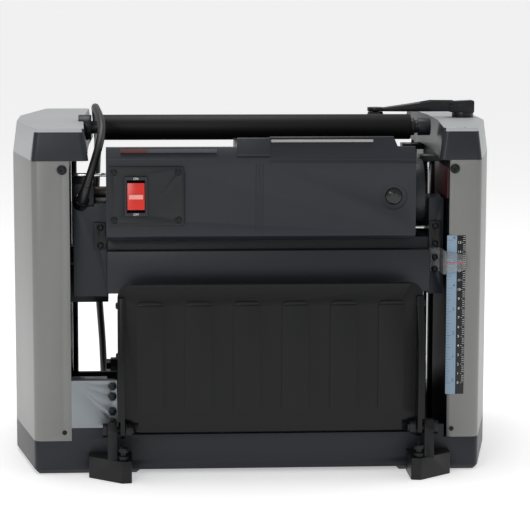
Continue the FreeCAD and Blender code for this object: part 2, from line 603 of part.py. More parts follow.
node("roller_axle",
     rod("roller_rod", "x", (f"{bracket_faces['left']} - 7", f"{bracket_faces['right']} + 7"), ROLLER, "5"))
roller_sleeve = cut("roller_sleeve", rod("roller_skin", "x", roller_ends, ROLLER, "roller_radius"),
                    rod("roller_core", "x", (f"{roller_ends[0]} - 1", f"{roller_ends[1]} + 1"), ROLLER,
                        "roller_radius - 2.5"))
plug_spans = {"left": (roller_ends[0], f"{roller_ends[0]} + 14"),
              "right": (f"{roller_ends[1]} - 14", roller_ends[1])}
roller_plugs = [
    cut(f"roller_plug_{side}", rod(f"plug_body_{side}", "x", plug_spans[side], ROLLER, "roller_radius - 2.5"),
        rod(f"plug_bore_{side}", "x", (f"{plug_spans[side][0]} - 1", f"{plug_spans[side][1]} + 1"), ROLLER,
            "5 + running_gap")) for side in SIDES]
node("top_roller", group("roller_set", roller_sleeve, *roller_plugs))

# ---------------------------------------------------------------- posts, lead screws and chain

node("guide_posts", group("post_set", *[
    rod(f"post_{side}_{index}", "z", ("web_low", PLATE_TOP), (POST[side], y), "post_radius")
    for side in SIDES for index, y in enumerate(("-post_spread", "post_spread"))]))


def flanged_bush(name, side, low, high):
    """A bronze bush for a lead screw, with its flange at the top."""
    return cut(name,
               fuse(name + "_body", rod(name + "_barrel", "z", (low, high), (SCREW[side], "0"),
                                        "screw_radius + 4"), rod(name + "_flange", "z",
                                                                 (high, f"{high} + 2"), (SCREW[side], "0"),
                                                                 "screw_radius + 5.5")),
               rod(name + "_bore", "z", (f"{low} - 1", f"{high} + 3"), (SCREW[side], "0"),
                   "screw_radius + running_gap"))


node("screw_bushes",
     group("screw_bush_set", *[flanged_bush(f"screw_bush_{side}_{label}", side, low, high) for side in SIDES
                               for label, low, high in (("low", "web_low", WEB_TOP),
                                                        ("high", PLATE_UNDER, PLATE_TOP))]))

SPROCKET_RADIUS, SPROCKET_LOW, SPROCKET_HIGH = 11, 8, 14
for side in SIDES:
    top = f"{PLATE_TOP} + 8" if side == "left" else f"{CAP_TOP} + 4"
    lead_rod = rod(f"lead_rod_{side}", "z", (f"{SPROCKET_LOW} - 2", top), (SCREW[side], "0"), "screw_radius")
    wheel = rod(f"sprocket_disc_{side}", "z", (SPROCKET_LOW, SPROCKET_HIGH), (SCREW[side], "0"),
                SPROCKET_RADIUS)
    gaps = []
    for step in range(12):
        turn = math.radians(30 * step)
        gaps.append(rod(f"tooth_gap_{side}_{step}", "z", (SPROCKET_LOW - 1, SPROCKET_HIGH + 1),
                        (f"{SCREW[side]} + {SPROCKET_RADIUS * math.cos(turn):.3f}",
                         f"{SPROCKET_RADIUS * math.sin(turn):.3f}"), "1.9"))
    bore = rod(f"sprocket_bore_{side}", "z", (SPROCKET_LOW - 1, SPROCKET_HIGH + 1), (SCREW[side], "0"),
               "screw_radius")
    node(f"lead_screw_{side}", group(f"screw_and_wheel_{side}", lead_rod,
                                     cut(f"chain_wheel_{side}", wheel, bore, *gaps)))

work_left = size["work_centre"] - size["work_width"] / 2
work_right = size["work_centre"] + size["work_width"] / 2
screw_left = work_left - size["left_gap"] - size["left_screw_setback"]
screw_right = work_right + size["right_gap"] + size["right_screw_setback"]
node("lift_chain", loop_band("chain_loop", "z", (SPROCKET_LOW + 0.5, SPROCKET_HIGH - 0.5),
                             (screw_left, 0, SPROCKET_RADIUS), (screw_right, 0, SPROCKET_RADIUS), 0.3, 2.8))

# ---------------------------------------------------------------- folding crank

crank_x = SCREW["right"]
PIN_X, PIN_Z = f"({crank_x} - 14)", f"({CAP_TOP} + 12.5)"
KNOB_X = f"({PIN_X} - crank_reach)"
hub_round = rod("hub_round", "z", (f"{CAP_TOP} + 0.6", f"{CAP_TOP} + 6"), (crank_x, "0"), "12")
hub_tongue = profile("hub_tongue", "xz", ("-7", "7"),
                     [(f"{PIN_X} - 6", f"{CAP_TOP} + 7.5"), (f"{PIN_X} - 6", f"{PIN_Z} + 5"),
                      (f"{crank_x} + 12", f"{PIN_Z} + 6.5"), (f"{crank_x} + 12", f"{CAP_TOP} + 5"),
                      (f"{PIN_X} + 4", f"{CAP_TOP} + 5")])
soften(hub_tongue, "2", ALONG_Y)
hub = cut("hub", fuse("hub_blank", hub_round, hub_tongue),
          rod("hub_stem_bore", "z", (CAP_TOP, f"{CAP_TOP} + 4"), (crank_x, "0"), "screw_radius"),
          rod("hub_pin_bore", "y", ("-8", "8"), (PIN_X, PIN_Z), "2.5"))
node("crank_hub", group("hub_and_pin", hub, rod("fold_pin", "y", ("-11.4", "11.4"), (PIN_X, PIN_Z), "2.5")))
arm_low = f"({CAP_TOP} + 7)"
arm_side = profile("arm_side", "xz", ("-10.4", "10.4"),
                   [(f"{PIN_X} + 5.5", arm_low), (f"{PIN_X} + 5.5", f"{PIN_Z} + 6"),
                    (f"{PIN_X} - 22", f"{PIN_Z} + 6.2"), (f"{PIN_X} - 44", f"{PIN_Z} + 2.5"),
                    (f"{KNOB_X} + 8", f"{arm_low} + 3.6"), (f"{KNOB_X}", f"{arm_low} + 3.4"),
                    (f"{KNOB_X}", arm_low)])
soften(arm_side, "2.5", ALONG_Y, lambda m: m.x > size["work_width"] / 2 + size["work_centre"] + 30)
fork_gap = block("fork_gap", (f"{PIN_X} - 34", f"{PIN_X} + 10"), ("-7.4", "7.4"),
                 (f"{arm_low} - 1", f"{PIN_Z} + 10"))
taper_cut = [profile(f"arm_waist_{label}", "xy", (f"{arm_low} - 1", f"{PIN_Z} + 10"), [
    (f"{PIN_X} - 40", f"{sign}12"), (f"{KNOB_X} - 2", f"{sign}12"), (f"{KNOB_X} - 2", f"{sign}6.5")])
    for label, sign in (("front", "-"), ("rear", ""))]
arm_boss = rod("arm_boss", "z", (arm_low, f"{arm_low} + 4.2"), (KNOB_X, "0"), "9")
knob_top = f"({arm_low} - 0.5)"
arm_stud = rod("arm_stud", "z", (f"{knob_top} - knob_length + 3", f"{arm_low} + 1"), (KNOB_X, "0"), "3")
node("crank_arm",
     cut("arm", fuse("arm_blank", cut("arm_waisted", arm_side, *taper_cut), arm_boss, arm_stud), fork_gap,
         rod("arm_pin_bore", "y", ("-12", "12"), (PIN_X, PIN_Z), "2.5 + running_gap")))
knob = turned("knob", "z", (KNOB_X, "0"),
              [("3 + running_gap", f"{knob_top} - knob_length + 4"), ("3 + running_gap", knob_top),
               ("8", knob_top), ("9.5", f"{knob_top} - 4"), ("8.6", f"{knob_top} - knob_length / 2"),
               ("10.5", f"{knob_top} - knob_length + 5"), ("9", f"{knob_top} - knob_length + 1"),
               ("7", f"{knob_top} - knob_length"), ("0", f"{knob_top} - knob_length"),
               ("0", f"{knob_top} - knob_length + 2.9"),
               ("3 + running_gap", f"{knob_top} - knob_length + 2.9")])
node("crank_knob", knob)

# ---------------------------------------------------------------- table brackets, hinges and stops

STOP_TOP = f"({HINGE_Z} - (table_flange - 9.5) - 0.1)"
BRACKET_TOP = "23"
bracket_plan = [(f"{EAR[0]} - 20", FRONT), (f"{EAR[0]} - 20", f"{FRONT} - 17"),
                (f"{STOP[0]} - 1", f"{FRONT} - 46"), (f"{STOP[0]} + 9", f"{FRONT} - 44"),
                (f"{STOP[0]} + 9", FRONT)]
foot_block = profile("bracket_foot", "xy", ("0", BRACKET_TOP), bracket_plan)
soften(foot_block, "2.5", ALONG_Z, lambda m: m.y < -size["body_depth"] / 2 - 4)
ear_post = profile("bracket_ear", "yz", EAR,
                   [(f"{HINGE_Y} - 12", f"{BRACKET_TOP} - 2"), (f"{HINGE_Y} - 9", HINGE_Z),
                    (f"{HINGE_Y} - 4", f"{HINGE_Z} + 9"), (f"{HINGE_Y} + 5", f"{HINGE_Z} + 9"),
                    (f"{HINGE_Y} + 9", HINGE_Z), (f"{FRONT} - 1", f"{BRACKET_TOP} + 8"),
                    (f"{FRONT} - 1", f"{BRACKET_TOP} - 2")])
soften(ear_post, "3", ALONG_X, lambda m: m.z > size["bed_height"] - size["hinge_drop"])
bracket_bolt = hex_bolt("bracket_bolt", "6", "4", "3", "base_wall + 14")
bracket = cut("bracket", fuse("bracket_blank", foot_block, ear_post),
              rod("hinge_bore", "x", (f"{EAR[0]} - 1", f"{EAR[1]} + 1"), (HINGE_Y, HINGE_Z), "hinge_radius"),
              rod("stop_bore", "z", ("4", f"{BRACKET_TOP} + 1"), STOP, "3"),
              *[rod(f"bracket_bolt_bore_{index}", "y", (f"{FRONT} - 14.5", f"{FRONT} + 1"), (x, z), "3")
                for index, (x, z) in enumerate(BRACKET_BOLTS)])
hinge_bolt = fuse("hinge_bolt",
                  hexagon("hinge_bolt_head", "x", (f"{EAR[0]} - 5", EAR[0]), (HINGE_Y, HINGE_Z), "7.5"),
                  rod("hinge_bolt_shank", "x", (EAR[0], f"{TABLE_LEFT} + 16"), (HINGE_Y, HINGE_Z),
                      "hinge_radius"))
NUT = (f"{TABLE_LEFT} + 8", f"{TABLE_LEFT} + 14")
HINGE = (HINGE_Y, HINGE_Z)
nut_washer = rod("hinge_washer", "x", (f"{NUT[0]} - 0.6", f"{NUT[0]} + 0.8"), HINGE, "8.5")
nut_body = hexagon("hinge_nut_body", "x", (f"{NUT[0]} + 0.8", NUT[1]), HINGE, "7.2")
hinge_nut = cut("hinge_nut", fuse("hinge_nut_blank", nut_washer, nut_body),
                rod("hinge_nut_bore", "x", (f"{NUT[0]} - 1", f"{NUT[1]} + 1"), HINGE, "hinge_radius"))
stop_bolt = fuse("stop_bolt", hexagon("stop_head", "z", (f"{STOP_TOP} - 4.5", STOP_TOP), STOP, "5.5"),
                 rod("stop_shank", "z", ("5", f"{STOP_TOP} - 4.5"), STOP, "3"))
stop_nut = cut("stop_nut", hexagon("stop_nut_body", "z", (BRACKET_TOP, f"{BRACKET_TOP} + 4.5"), STOP, "5.5"),
               rod("stop_nut_bore", "z", (f"{BRACKET_TOP} - 1", f"{BRACKET_TOP} + 6"), STOP, "3"))
bracket_bolts = [copy(f"bracket_bolt_{index}", bracket_bolt, x, f"{FRONT} + base_wall", z,
                      Rotation(Vector(1, 0, 0), -90)) for index, (x, z) in enumerate(BRACKET_BOLTS)]


def four_corners(name, source):
    """A piece at the front left with its three mirror images."""
    pair = group(name + "_pair", source, mirrored(name + "_right", source, "x", "work_centre"))
    return both_ends(name, pair)


node("table_brackets", four_corners("bracket_set", bracket))
node("frame_bolts", group("frame_bolt_set", *rail_bolts, four_corners("bracket_fastener_set", group(
    "bracket_fasteners", hinge_bolt, hinge_nut, stop_bolt, stop_nut, *bracket_bolts))))

# ---------------------------------------------------------------- folding tables

PLATE_BACK = f"({HINGE_Y} + hinge_drop)"
PLATE_FRONT = f"({PLATE_BACK} - table_sheet)"
FLANGE_FRONT = f"({PLATE_BACK} - table_flange)"
TABLE_LOW = f"({HINGE_Z} - 4)"
TABLE_HIGH = f"({TABLE_LOW} + table_length)"
plate = profile("table_plate", "xz", (PLATE_FRONT, PLATE_BACK), [
    (TABLE_LEFT, TABLE_LOW), (TABLE_RIGHT, TABLE_LOW), (TABLE_RIGHT, TABLE_HIGH), (TABLE_LEFT, TABLE_HIGH)])
soften(plate, "15", ALONG_Y, lambda m: m.z > size["table_length"] / 2)
rim_front = f"({PLATE_FRONT} - 7.6)"
flange_plan = [(PLATE_FRONT, f"{TABLE_LOW} + 16"), (FLANGE_FRONT, f"{TABLE_LOW} + 16"),
               (FLANGE_FRONT, f"{TABLE_HIGH} - 60"), (rim_front, f"{TABLE_HIGH} - 22"),
               (rim_front, f"{TABLE_HIGH} - 14"), (PLATE_FRONT, f"{TABLE_HIGH} - 14")]
flanges = [profile(f"table_flange_{label}", "yz", span, flange_plan) for label,
           span in (("left", (TABLE_LEFT, f"{TABLE_LEFT} + 2.5")),
                    ("right", (f"{TABLE_RIGHT} - 2.5", TABLE_RIGHT)))]
lip = block("table_lip", (f"{TABLE_LEFT} + 15", f"{TABLE_RIGHT} - 15"), (rim_front, PLATE_FRONT),
            (f"{TABLE_HIGH} - 2.5", TABLE_HIGH))
rib = profile("table_rib", "xz", ("-3", "0"), [
    ("-rib_width / 2", "-rib_length / 2"), ("rib_width / 2", "-rib_length / 2"),
    ("rib_width / 2", "rib_length / 2"), ("-rib_width / 2", "rib_length / 2")])
soften(rib, "6", ALONG_Y)
ribs = [copy(f"table_rib_{index}", rib, f"work_centre + rib_pitch * ({index} - 2.5)", PLATE_FRONT,
             f"{TABLE_LOW} + 20 + rib_length / 2") for index in range(6)]
table = fuse("table", plate, *flanges, lip, *ribs)
arm_x = (f"{TABLE_LEFT} + 2.5", f"{TABLE_LEFT} + 7")
ARM_TOP = f"({TABLE_LOW} + table_length - 14)"
arm_bar = block("table_arm_bar", arm_x, (FLANGE_FRONT, PLATE_FRONT), (f"{HINGE_Z} - 2", ARM_TOP))
arm_trim = profile("table_arm_trim", "yz", (f"{arm_x[0]} - 1", f"{arm_x[1]} + 1"), [
    (f"{FLANGE_FRONT} - 1", f"{TABLE_HIGH} - 60"), (f"{FLANGE_FRONT} - 1", f"{TABLE_HIGH}"),
    (rim_front, f"{TABLE_HIGH}"), (rim_front, f"{TABLE_HIGH} - 22"), (FLANGE_FRONT, f"{TABLE_HIGH} - 60")])
arm_eye = rod("table_arm_eye", "x", arm_x, (HINGE_Y, HINGE_Z), "9")
table_arm = cut("table_arm", fuse("table_arm_blank", arm_bar, arm_eye), arm_trim,
                rod("table_arm_bore", "x", (f"{arm_x[0]} - 1", f"{arm_x[1]} + 1"), (HINGE_Y, HINGE_Z),
                    "hinge_radius + running_gap"),
                *[rod(f"table_arm_hole_{index}", "x", (f"{TABLE_LEFT} - 1", f"{arm_x[1]} + 1"), (y, z), "2")
                  for index, (y, z) in enumerate([(f"{PLATE_FRONT} - 11", f"{HINGE_Z} + 79"),
                                                  (f"{PLATE_FRONT} - 4.4", f"{HINGE_Z} + 131")])])
TABLE_SCREWS = [(f"{PLATE_FRONT} - 11", f"{HINGE_Z} + 79"), (f"{PLATE_FRONT} - 4.4", f"{HINGE_Z} + 131")]
arm_screw = machine_screw("arm_screw", "3.6", "2", "1.95", "6.5")
pan = cut("table_pan", table, *[
    rod(f"table_hole_{index}", "x", (f"{TABLE_LEFT} - 1", f"{TABLE_RIGHT} + 1"), place_yz, "2")
    for index, place_yz in enumerate(TABLE_SCREWS)],
    *[rod(f"pivot_relief_{label}", "x", (x, f"{x} + 22"), (HINGE_Y, HINGE_Z), "9.4")
      for label, x in (("left", f"{TABLE_LEFT} - 1"), ("right", f"{TABLE_RIGHT} - 21"))])
arm_pair = group("table_arm_pair", table_arm, mirrored("table_arm_right", table_arm, "x", "work_centre"))
facing_left = Rotation(Vector(0, 1, 0), -90)
arm_screws = [copy(f"arm_screw_{index}", arm_screw, TABLE_LEFT, *place_yz, facing_left)
              for index, place_yz in enumerate(TABLE_SCREWS)]
screw_pair = group("arm_screw_pair", *arm_screws)
screw_quad = group("arm_screw_quad", screw_pair, mirrored("arm_screw_right", screw_pair, "x", "work_centre"))
arms_and_screws = group("table_arm_set", arm_pair, screw_quad)
for name, source in (("table", pan), ("table_arms", arms_and_screws)):
    node(f"infeed_{name}", source)
    node(f"outfeed_{name}", mirrored(f"outfeed_{name}_image", source, "y"))

# ---------------------------------------------------------------- head: blocks, casting and crossbars

BEARING_OUTER, BEARING_BORE = "17.5", "8.5"
BUSH_OUTER = "post_radius + bush_wall"
block_x = {side: span_of(side, BLOCK[side], "0", "block_width") for side in SIDES}
plate_z = ("casting_top - 11", "casting_top + 17")
plate_x = {"left": (f"{BLOCK['left']} - 13", BLOCK["left"]),
           "right": (BLOCK["right"], f"{BLOCK['right']} + 13")}
PLATE_SCREWS = {side: [(f"({plate_x[side][0]} + 6.5)", f"(casting_top + {rise})") for rise in (-7, 12)]
                for side in SIDES}
POINTER_SCREWS = [(PLATE_SCREWS["right"][0][0], f"(casting_top - {drop})") for drop in (21.5, 34.5)]
plate_holes = {side: [rod(f"plate_hole_{side}_{index}", "y", (f"{BLOCK_FRONT} - 8", f"{BLOCK_FRONT} + 8"),
                          spot_xz, "1.8") for index, spot_xz in enumerate(PLATE_SCREWS[side])]
               for side in SIDES}
pointer_holes = [rod(f"pointer_hole_{index}", "y", (f"{BLOCK_FRONT} - 8", f"{BLOCK_FRONT} + 8"), spot_xz,
                     "1.8") for index, spot_xz in enumerate(POINTER_SCREWS)]
left_block = profile("left_block", "yz", block_x["left"], [
    (BLOCK_FRONT, f"{CUT_CIRCLE} - 5"), (BLOCK_REAR, f"{CUT_CIRCLE} - 5"), (BLOCK_REAR, "casting_top + 12"),
    ("-40", "casting_top + 37"), (BLOCK_FRONT, "casting_top + 37")])
sleeve_z = (f"{CUT_CIRCLE} - 18.5", f"{CUT_CIRCLE} + 22")
sleeves = [block(f"left_sleeve_{index}", (f"{POST['left']} - post_radius - 3.4", block_x["left"][0]),
                 (f"{y} - 12", f"{y} + 12"), sleeve_z) for index,
           y in enumerate(("-post_spread", "post_spread"))]
LEFT_NUT_Z = (f"{CUT_CIRCLE} - 30.5", f"{CUT_CIRCLE} - 12.5")
left_nut_web = block("left_nut_web", block_x["left"], ("-10", "10"), (LEFT_NUT_Z[0], f"{CUT_CIRCLE} - 4"))
left_nut_arm = block("left_nut_arm", (f"{SCREW['left']} - 11", block_x["left"][0]), ("-10", "10"),
                     LEFT_NUT_Z)
WEDGE_LOW = f"({CUT_CIRCLE} - 5)"
front_wedge = profile("left_front_wedge", "yz", (f"{INNER['left']} + 3", block_x["left"][0]), [
    (BLOCK_FRONT, WEDGE_LOW), (BLOCK_FRONT, "casting_top + 34"), (f"{BLOCK_FRONT} + 3", "casting_top + 34"),
    (f"{BLOCK_FRONT} + 3", "casting_top + 16"), ("-post_spread - 25", "casting_top - 5"),
    ("-post_spread + 11", "casting_top - 28"), ("-post_spread + 11", WEDGE_LOW)])
right_block = block("right_block", (block_x["right"][0], f"{block_x['right'][1]} + 2.5"),
                    (BLOCK_FRONT, BLOCK_REAR), (f"{CUT_CIRCLE} - 4.5", "casting_top + 41"))
bosses = [rod(f"right_boss_{index}", "z", (f"{CUT_CIRCLE} - 4.5", "casting_top + 9"), (POST["right"], y),
              "post_radius + 3.5") for index, y in enumerate(("-post_spread", "post_spread"))]
right_nut_arm = block("right_nut_arm", (block_x["right"][1], f"{SCREW['right']} + 11"), ("-10", "10"),
                      ("casting_top - 7", "casting_top + 11"))
post_ways = {side: [rod(f"post_way_{side}_{index}", "z", (f"{CUT_CIRCLE} - 60", "housing_top"),
                        (POST[side], y), BUSH_OUTER) for index,
                    y in enumerate(("-post_spread", "post_spread"))] for side in SIDES}
nut_spans = {"left": LEFT_NUT_Z, "right": ("casting_top - 7", "casting_top + 11")}
nut_ways = {side: rod(f"nut_way_{side}", "z", (f"{CUT_CIRCLE} - 60", "housing_top"), (SCREW[side], "0"),
                      "screw_radius + 2.5") for side in SIDES}
shaft_ways = {}
for side in SIDES:
    low, high = block_x[side]
    reach = (f"{low} - 1", f"{high} + 1") if side == "left" else (f"{low} - 1", f"{high} - 1")
    shaft_ways[side] = [rod(f"bearing_way_{side}", "x", reach, ("0", CUTTER_AXIS), BEARING_OUTER),
                        *[rod(f"feed_way_{side}_{index}", "x", reach, (y, FEED_AXIS), "9")
                          for index, y in enumerate(("-feed_spread", "feed_spread"))]]
node("side_block_left",
     cut("block_left", fuse("block_left_blank", left_block, *sleeves, left_nut_web, left_nut_arm,
                            front_wedge), *post_ways["left"], nut_ways["left"], *shaft_ways["left"],
         *plate_holes["left"]))
node("side_block_right", cut("block_right", fuse("block_right_blank", right_block, *bosses, right_nut_arm),
                             *post_ways["right"], nut_ways["right"], *shaft_ways["right"],
                             *plate_holes["right"], *pointer_holes))
bush_z = {"left": sleeve_z, "right": (f"{CUT_CIRCLE} - 4.5", "casting_top + 9")}
post_bushes = [
    cut(f"post_bush_{side}_{index}",
        rod(f"post_bush_body_{side}_{index}", "z", bush_z[side], (POST[side], y), BUSH_OUTER),
        rod(f"post_bush_bore_{side}_{index}", "z", (f"{bush_z[side][0]} - 1", f"{bush_z[side][1]} + 1"),
            (POST[side], y), "post_radius + running_gap"))
    for side in SIDES for index, y in enumerate(("-post_spread", "post_spread"))]
lift_nuts = [cut(f"lift_nut_{side}",
                 rod(f"lift_nut_body_{side}", "z", nut_spans[side], (SCREW[side], "0"),
                     "screw_radius + 2.5"), rod(f"lift_nut_bore_{side}", "z",
                                                (f"{nut_spans[side][0]} - 1", f"{nut_spans[side][1]} + 1"),
                                                (SCREW[side], "0"), "screw_radius + running_gap"))
             for side in SIDES]
node("slide_bushes", group("slide_bush_set", *post_bushes, *lift_nuts))

casting_x = (BLOCK["left"], BLOCK["right"])
boss_reliefs = [rod(f"boss_relief_{index}", "z", (f"{CUT_CIRCLE} - 10", "casting_top + 9"),
                    (POST["right"], y), "post_radius + 4") for index,
                y in enumerate(("-post_spread", "post_spread"))]
casting = fuse("casting_blank",
               block("casting_roof", casting_x, (BLOCK_FRONT, BLOCK_REAR),
                     ("casting_top - 6", "casting_top")),
               block("casting_front", casting_x, (BLOCK_FRONT, f"{BLOCK_FRONT} + 8"),
                     (f"{CUT_CIRCLE} + 4", "casting_top")),
               block("casting_rear", casting_x, (f"{BLOCK_REAR} - 8", BLOCK_REAR),
                     (f"{CUT_CIRCLE} + 4", "casting_top")),
               *[block(f"casting_rib_{label}", casting_x, y, (f"{CUT_CIRCLE} + 22", "casting_top"))
                 for label, y in (("front", ("-82", "-76")), ("rear", ("76", "82")))])
chip_slot = block("chip_slot", (WORK_LEFT, WORK_RIGHT), ("30", "70"), ("casting_top - 7", "casting_top + 1"))
node("head_casting", cut("casting", casting, chip_slot, *boss_reliefs))
deck_z = (CUT_CIRCLE, f"{CUT_CIRCLE} + deck_height")
deck_front = fuse("deck_blank",
                  block("deck_face", casting_x, (f"{BLOCK_FRONT} - 16", f"{BLOCK_FRONT} - 16 + deck_sheet"),
                        deck_z), block("deck_top", casting_x, (f"{BLOCK_FRONT} - 16", BLOCK_FRONT),
                                       (f"{deck_z[1]} - deck_sheet", deck_z[1])),
                  block("deck_bottom", casting_x, (f"{BLOCK_FRONT} - 16", BLOCK_FRONT),
                        (deck_z[0], f"{deck_z[0]} + deck_sheet")))
node("crossbars", both_ends("crossbar_pair", deck_front))

# Small plates on the block fronts, with the clear depth pointer screwed on under the right one.
node("block_plates", group("block_plate_pair",
                           *[cut(f"block_plate_{side}", block(f"block_plate_body_{side}", plate_x[side],
                                                              (f"{BLOCK_FRONT} - 3", BLOCK_FRONT), plate_z),
                                 *plate_holes[side]) for side in SIDES]))
plate_screw = machine_screw("plate_screw", "3.3", "2", "1.75", "9")
POINTER_FACE = f"({BLOCK_FRONT} - 2)"
head_screws = [copy(f"block_screw_{side}_{index}", plate_screw, spot_xz[0], f"{BLOCK_FRONT} - 3",
                    spot_xz[1], facing_front) for side in SIDES for index,
               spot_xz in enumerate(PLATE_SCREWS[side])]
head_screws += [copy(f"pointer_screw_{index}", plate_screw, spot_xz[0], POINTER_FACE, spot_xz[1],
                     facing_front) for index, spot_xz in enumerate(POINTER_SCREWS)]
pointer_z = ("casting_top - 36.5", "casting_top - 11.3")
leg_x = (f"{INNER['right']} - 3.4", f"{INNER['right']} - 1.2")
blade_y = (f"{FRONT} - 3.4", f"{FRONT} - 1.6")
blade = profile("pointer_blade", "xz", blade_y, [
    (leg_x[0], pointer_z[0]), (f"{INNER['right']} + 21", f"{pointer_z[0]} + 5"),
    (f"{INNER['right']} + 21", f"{pointer_z[1]} - 5"), (leg_x[0], pointer_z[1])])
node("depth_pointer", cut("pointer", fuse(
    "pointer_blank", blade, block("pointer_leg", leg_x, (blade_y[0], BLOCK_FRONT), pointer_z),
    block("pointer_tab", (plate_x["right"][0], leg_x[1]), (POINTER_FACE, BLOCK_FRONT), pointer_z)),
    *pointer_holes))

# Height scales on the right cover, inch marks on the light strip.
ZERO_Z = f"({pointer_z[0]} + 12.6 - cut_height)"
scale_z = (f"{ZERO_Z} - 12", f"{ZERO_Z} + 157.4")
inch_strip = block("scale_strip", (f"{INNER['right']} + 1", f"{INNER['right']} + 11.5"),
                   (f"{FRONT} - 0.6", FRONT), scale_z)
metric_strip = block("metric_strip", (f"{INNER['right']} + 11.5", f"{INNER['right']} + 20.5"),
                     (f"{FRONT} - 0.6", FRONT), scale_z)
node("height_scales", group("scale_pair", inch_strip, metric_strip))

# ---------------------------------------------------------------- head: motor and its housing

MOTOR = ("-motor_forward", "motor_height")
HOUSING_X = (BLOCK["left"], f"({WORK_RIGHT} - 6)")
HOUSING_FRONT = f"({BLOCK_FRONT} - 26)"
housing_rear = "(-motor_forward + 46)"
housing = profile("housing", "yz", HOUSING_X,
                  [(f"{HOUSING_FRONT} + 6", "casting_top"), (HOUSING_FRONT, "casting_top + 5"),
                   (HOUSING_FRONT, "motor_height + 40.5"), (f"{HOUSING_FRONT} + 9", "housing_top"),
                   (f"{housing_rear} - 10", "housing_top - 8"), (housing_rear, "housing_top - 20"),
                   (housing_rear, "casting_top")])
soften(housing, "2.5", ALONG_X, lambda m: m.y < -size["block_depth"] / 2)
soften(housing, "6", ALONG_X, lambda m: m.y > -size["motor_forward"] and m.z > size["motor_height"])
motor_bore = rod("motor_bore", "x", (f"{HOUSING_X[0]} - 1", f"{HOUSING_X[1]} - 4"), MOTOR, "42")
end_way = rod("motor_end_way", "x", (f"{HOUSING_X[1]} - 5", f"{HOUSING_X[1]} + 1"), MOTOR, "11")
BRUSH_X = f"({HOUSING_X[1]} - 23)"
brush_ways = [rod("brush_way_front", "y", (f"{HOUSING_FRONT} - 1", "-motor_forward - 30"),
                  (BRUSH_X, "motor_height"), "9"),
              rod("brush_recess", "y", (f"{HOUSING_FRONT} - 1", f"{HOUSING_FRONT} + 2.5"),
                  (BRUSH_X, "motor_height"), "14"),
              rod("brush_way_rear", "y", ("-motor_forward + 30", f"{housing_rear} + 1"),
                  (BRUSH_X, "motor_height"), "9")]
SWITCH_X = (f"({HOUSING_X[0]} + 2)", f"({HOUSING_X[0]} + 81)")
SWITCH_Z = ("(motor_height - 29)", "(motor_height + 32)")
switch_window = block("switch_window", (f"{SWITCH_X[0]} + 18", f"{SWITCH_X[0]} + 40"),
                      (f"{HOUSING_FRONT} - 1", f"{HOUSING_FRONT} + 16"),
                      ("motor_height - 17", "motor_height + 20"))
PLATE_Y = (f"({HOUSING_FRONT} - 3)", HOUSING_FRONT)
SWITCH_SCREWS = [(x, z) for x in (f"({SWITCH_X[0]} + 6)", f"({SWITCH_X[1]} - 6)")
                 for z in (f"({SWITCH_Z[0]} + 5.5)", f"({SWITCH_Z[1]} - 5.5)")]
screw_holes = [rod(f"switch_hole_{index}", "y", (f"{PLATE_Y[0]} - 1", f"{HOUSING_FRONT} + 9"), spot_xz, "2")
               for index, spot_xz in enumerate(SWITCH_SCREWS)]
housing_body = cut("housing_body", housing, motor_bore, end_way, *brush_ways, switch_window, *screw_holes)
HOOD_FRONT, HOOD_REAR = f"({HOUSING_FRONT} - 1.5)", f"({housing_rear} - 3)"
HOOD_STEP_X, HOOD_END_X = f"({HOUSING_X[0]} + 171)", f"({HOUSING_X[1]} - 16)"


def hood_piece(name, span, lip, setback, top):
    """A roof on the motor housing. From its lip, a place across and up, its front leans back to its top."""
    roof = profile(name, "yz", span, [
        (lip[0], lip[1]), (lip[0], f"{lip[1]} + 2.5"), (f"{HOUSING_FRONT} + {setback}", top),
        (f"{HOOD_REAR} - 6", f"{top} - 7"), (HOOD_REAR, "housing_top - 19"),
        ("-motor_forward", "motor_height + 45"), ("-motor_forward - 40", lip[1])])
    return soften(roof, "2.5", ALONG_X, lambda m: m.z > size["housing_top"] + 1)


hood_left = hood_piece("hood_left", (f"{HOUSING_X[0]} + 136.5", HOOD_STEP_X),
                       (f"{HOUSING_FRONT} + 0.5", "motor_height + 42.5"), 12, "hood_top - 1")
hood_slant = profile("hood_slant", "xz", ("-block_depth", "0"),
                     [(f"{HOOD_END_X} - 7", "hood_top + 1"), (f"{HOOD_END_X} + 1", "hood_top + 1"),
                      (f"{HOOD_END_X} + 1", "motor_height + 42")])
hood_right = cut("hood_right", hood_piece("hood_right_roof", (HOOD_STEP_X, HOOD_END_X),
                                          (HOOD_FRONT, "motor_height + 33"), 13, "hood_top"), hood_slant)
hood_ledge = block("hood_ledge", (HOOD_STEP_X, HOUSING_X[1]), (HOOD_FRONT, f"{HOUSING_FRONT} + 4"),
                   ("motor_height + 33", "motor_height + 35.5"))
node("motor_housing", fuse("housing_with_hood", housing_body, hood_left, hood_right, hood_ledge))
bell = rod("bell_drum", "x", (HOUSING_X[1], f"{BLOCK['right']} - 4.5"), MOTOR, "34")
bell_slots = [block(f"bell_slot_{step}", (f"{HOUSING_X[1]} - 1", f"{HOUSING_X[1]} + 3"),
                    ("-motor_forward - 2", "-motor_forward + 2"), ("motor_height - 36", "motor_height + 36"))
              for step in range(6)]
for step, slot in enumerate(bell_slots):
    slot.setExpression("Placement.Base.y", None)
    slot.setExpression("Placement.Base.z", None)
    tilt = Rotation(Vector(1, 0, 0), 30 * step)
    centre = Vector(0, -size["motor_forward"], size["motor_height"])
    slot.Placement = Placement(centre + tilt.multVec(Vector(0, -2, -36)), tilt)
    slot.setExpression("Placement.Base.x", rule(f"{HOUSING_X[1]} - 1"))
core = rod("bell_core", "x", (f"{HOUSING_X[1]} - 2", f"{HOUSING_X[1]} + 4"), MOTOR, "29")
bell_grooves = cut("bell_groove_ring", fuse("bell_slot_star", *bell_slots), core)
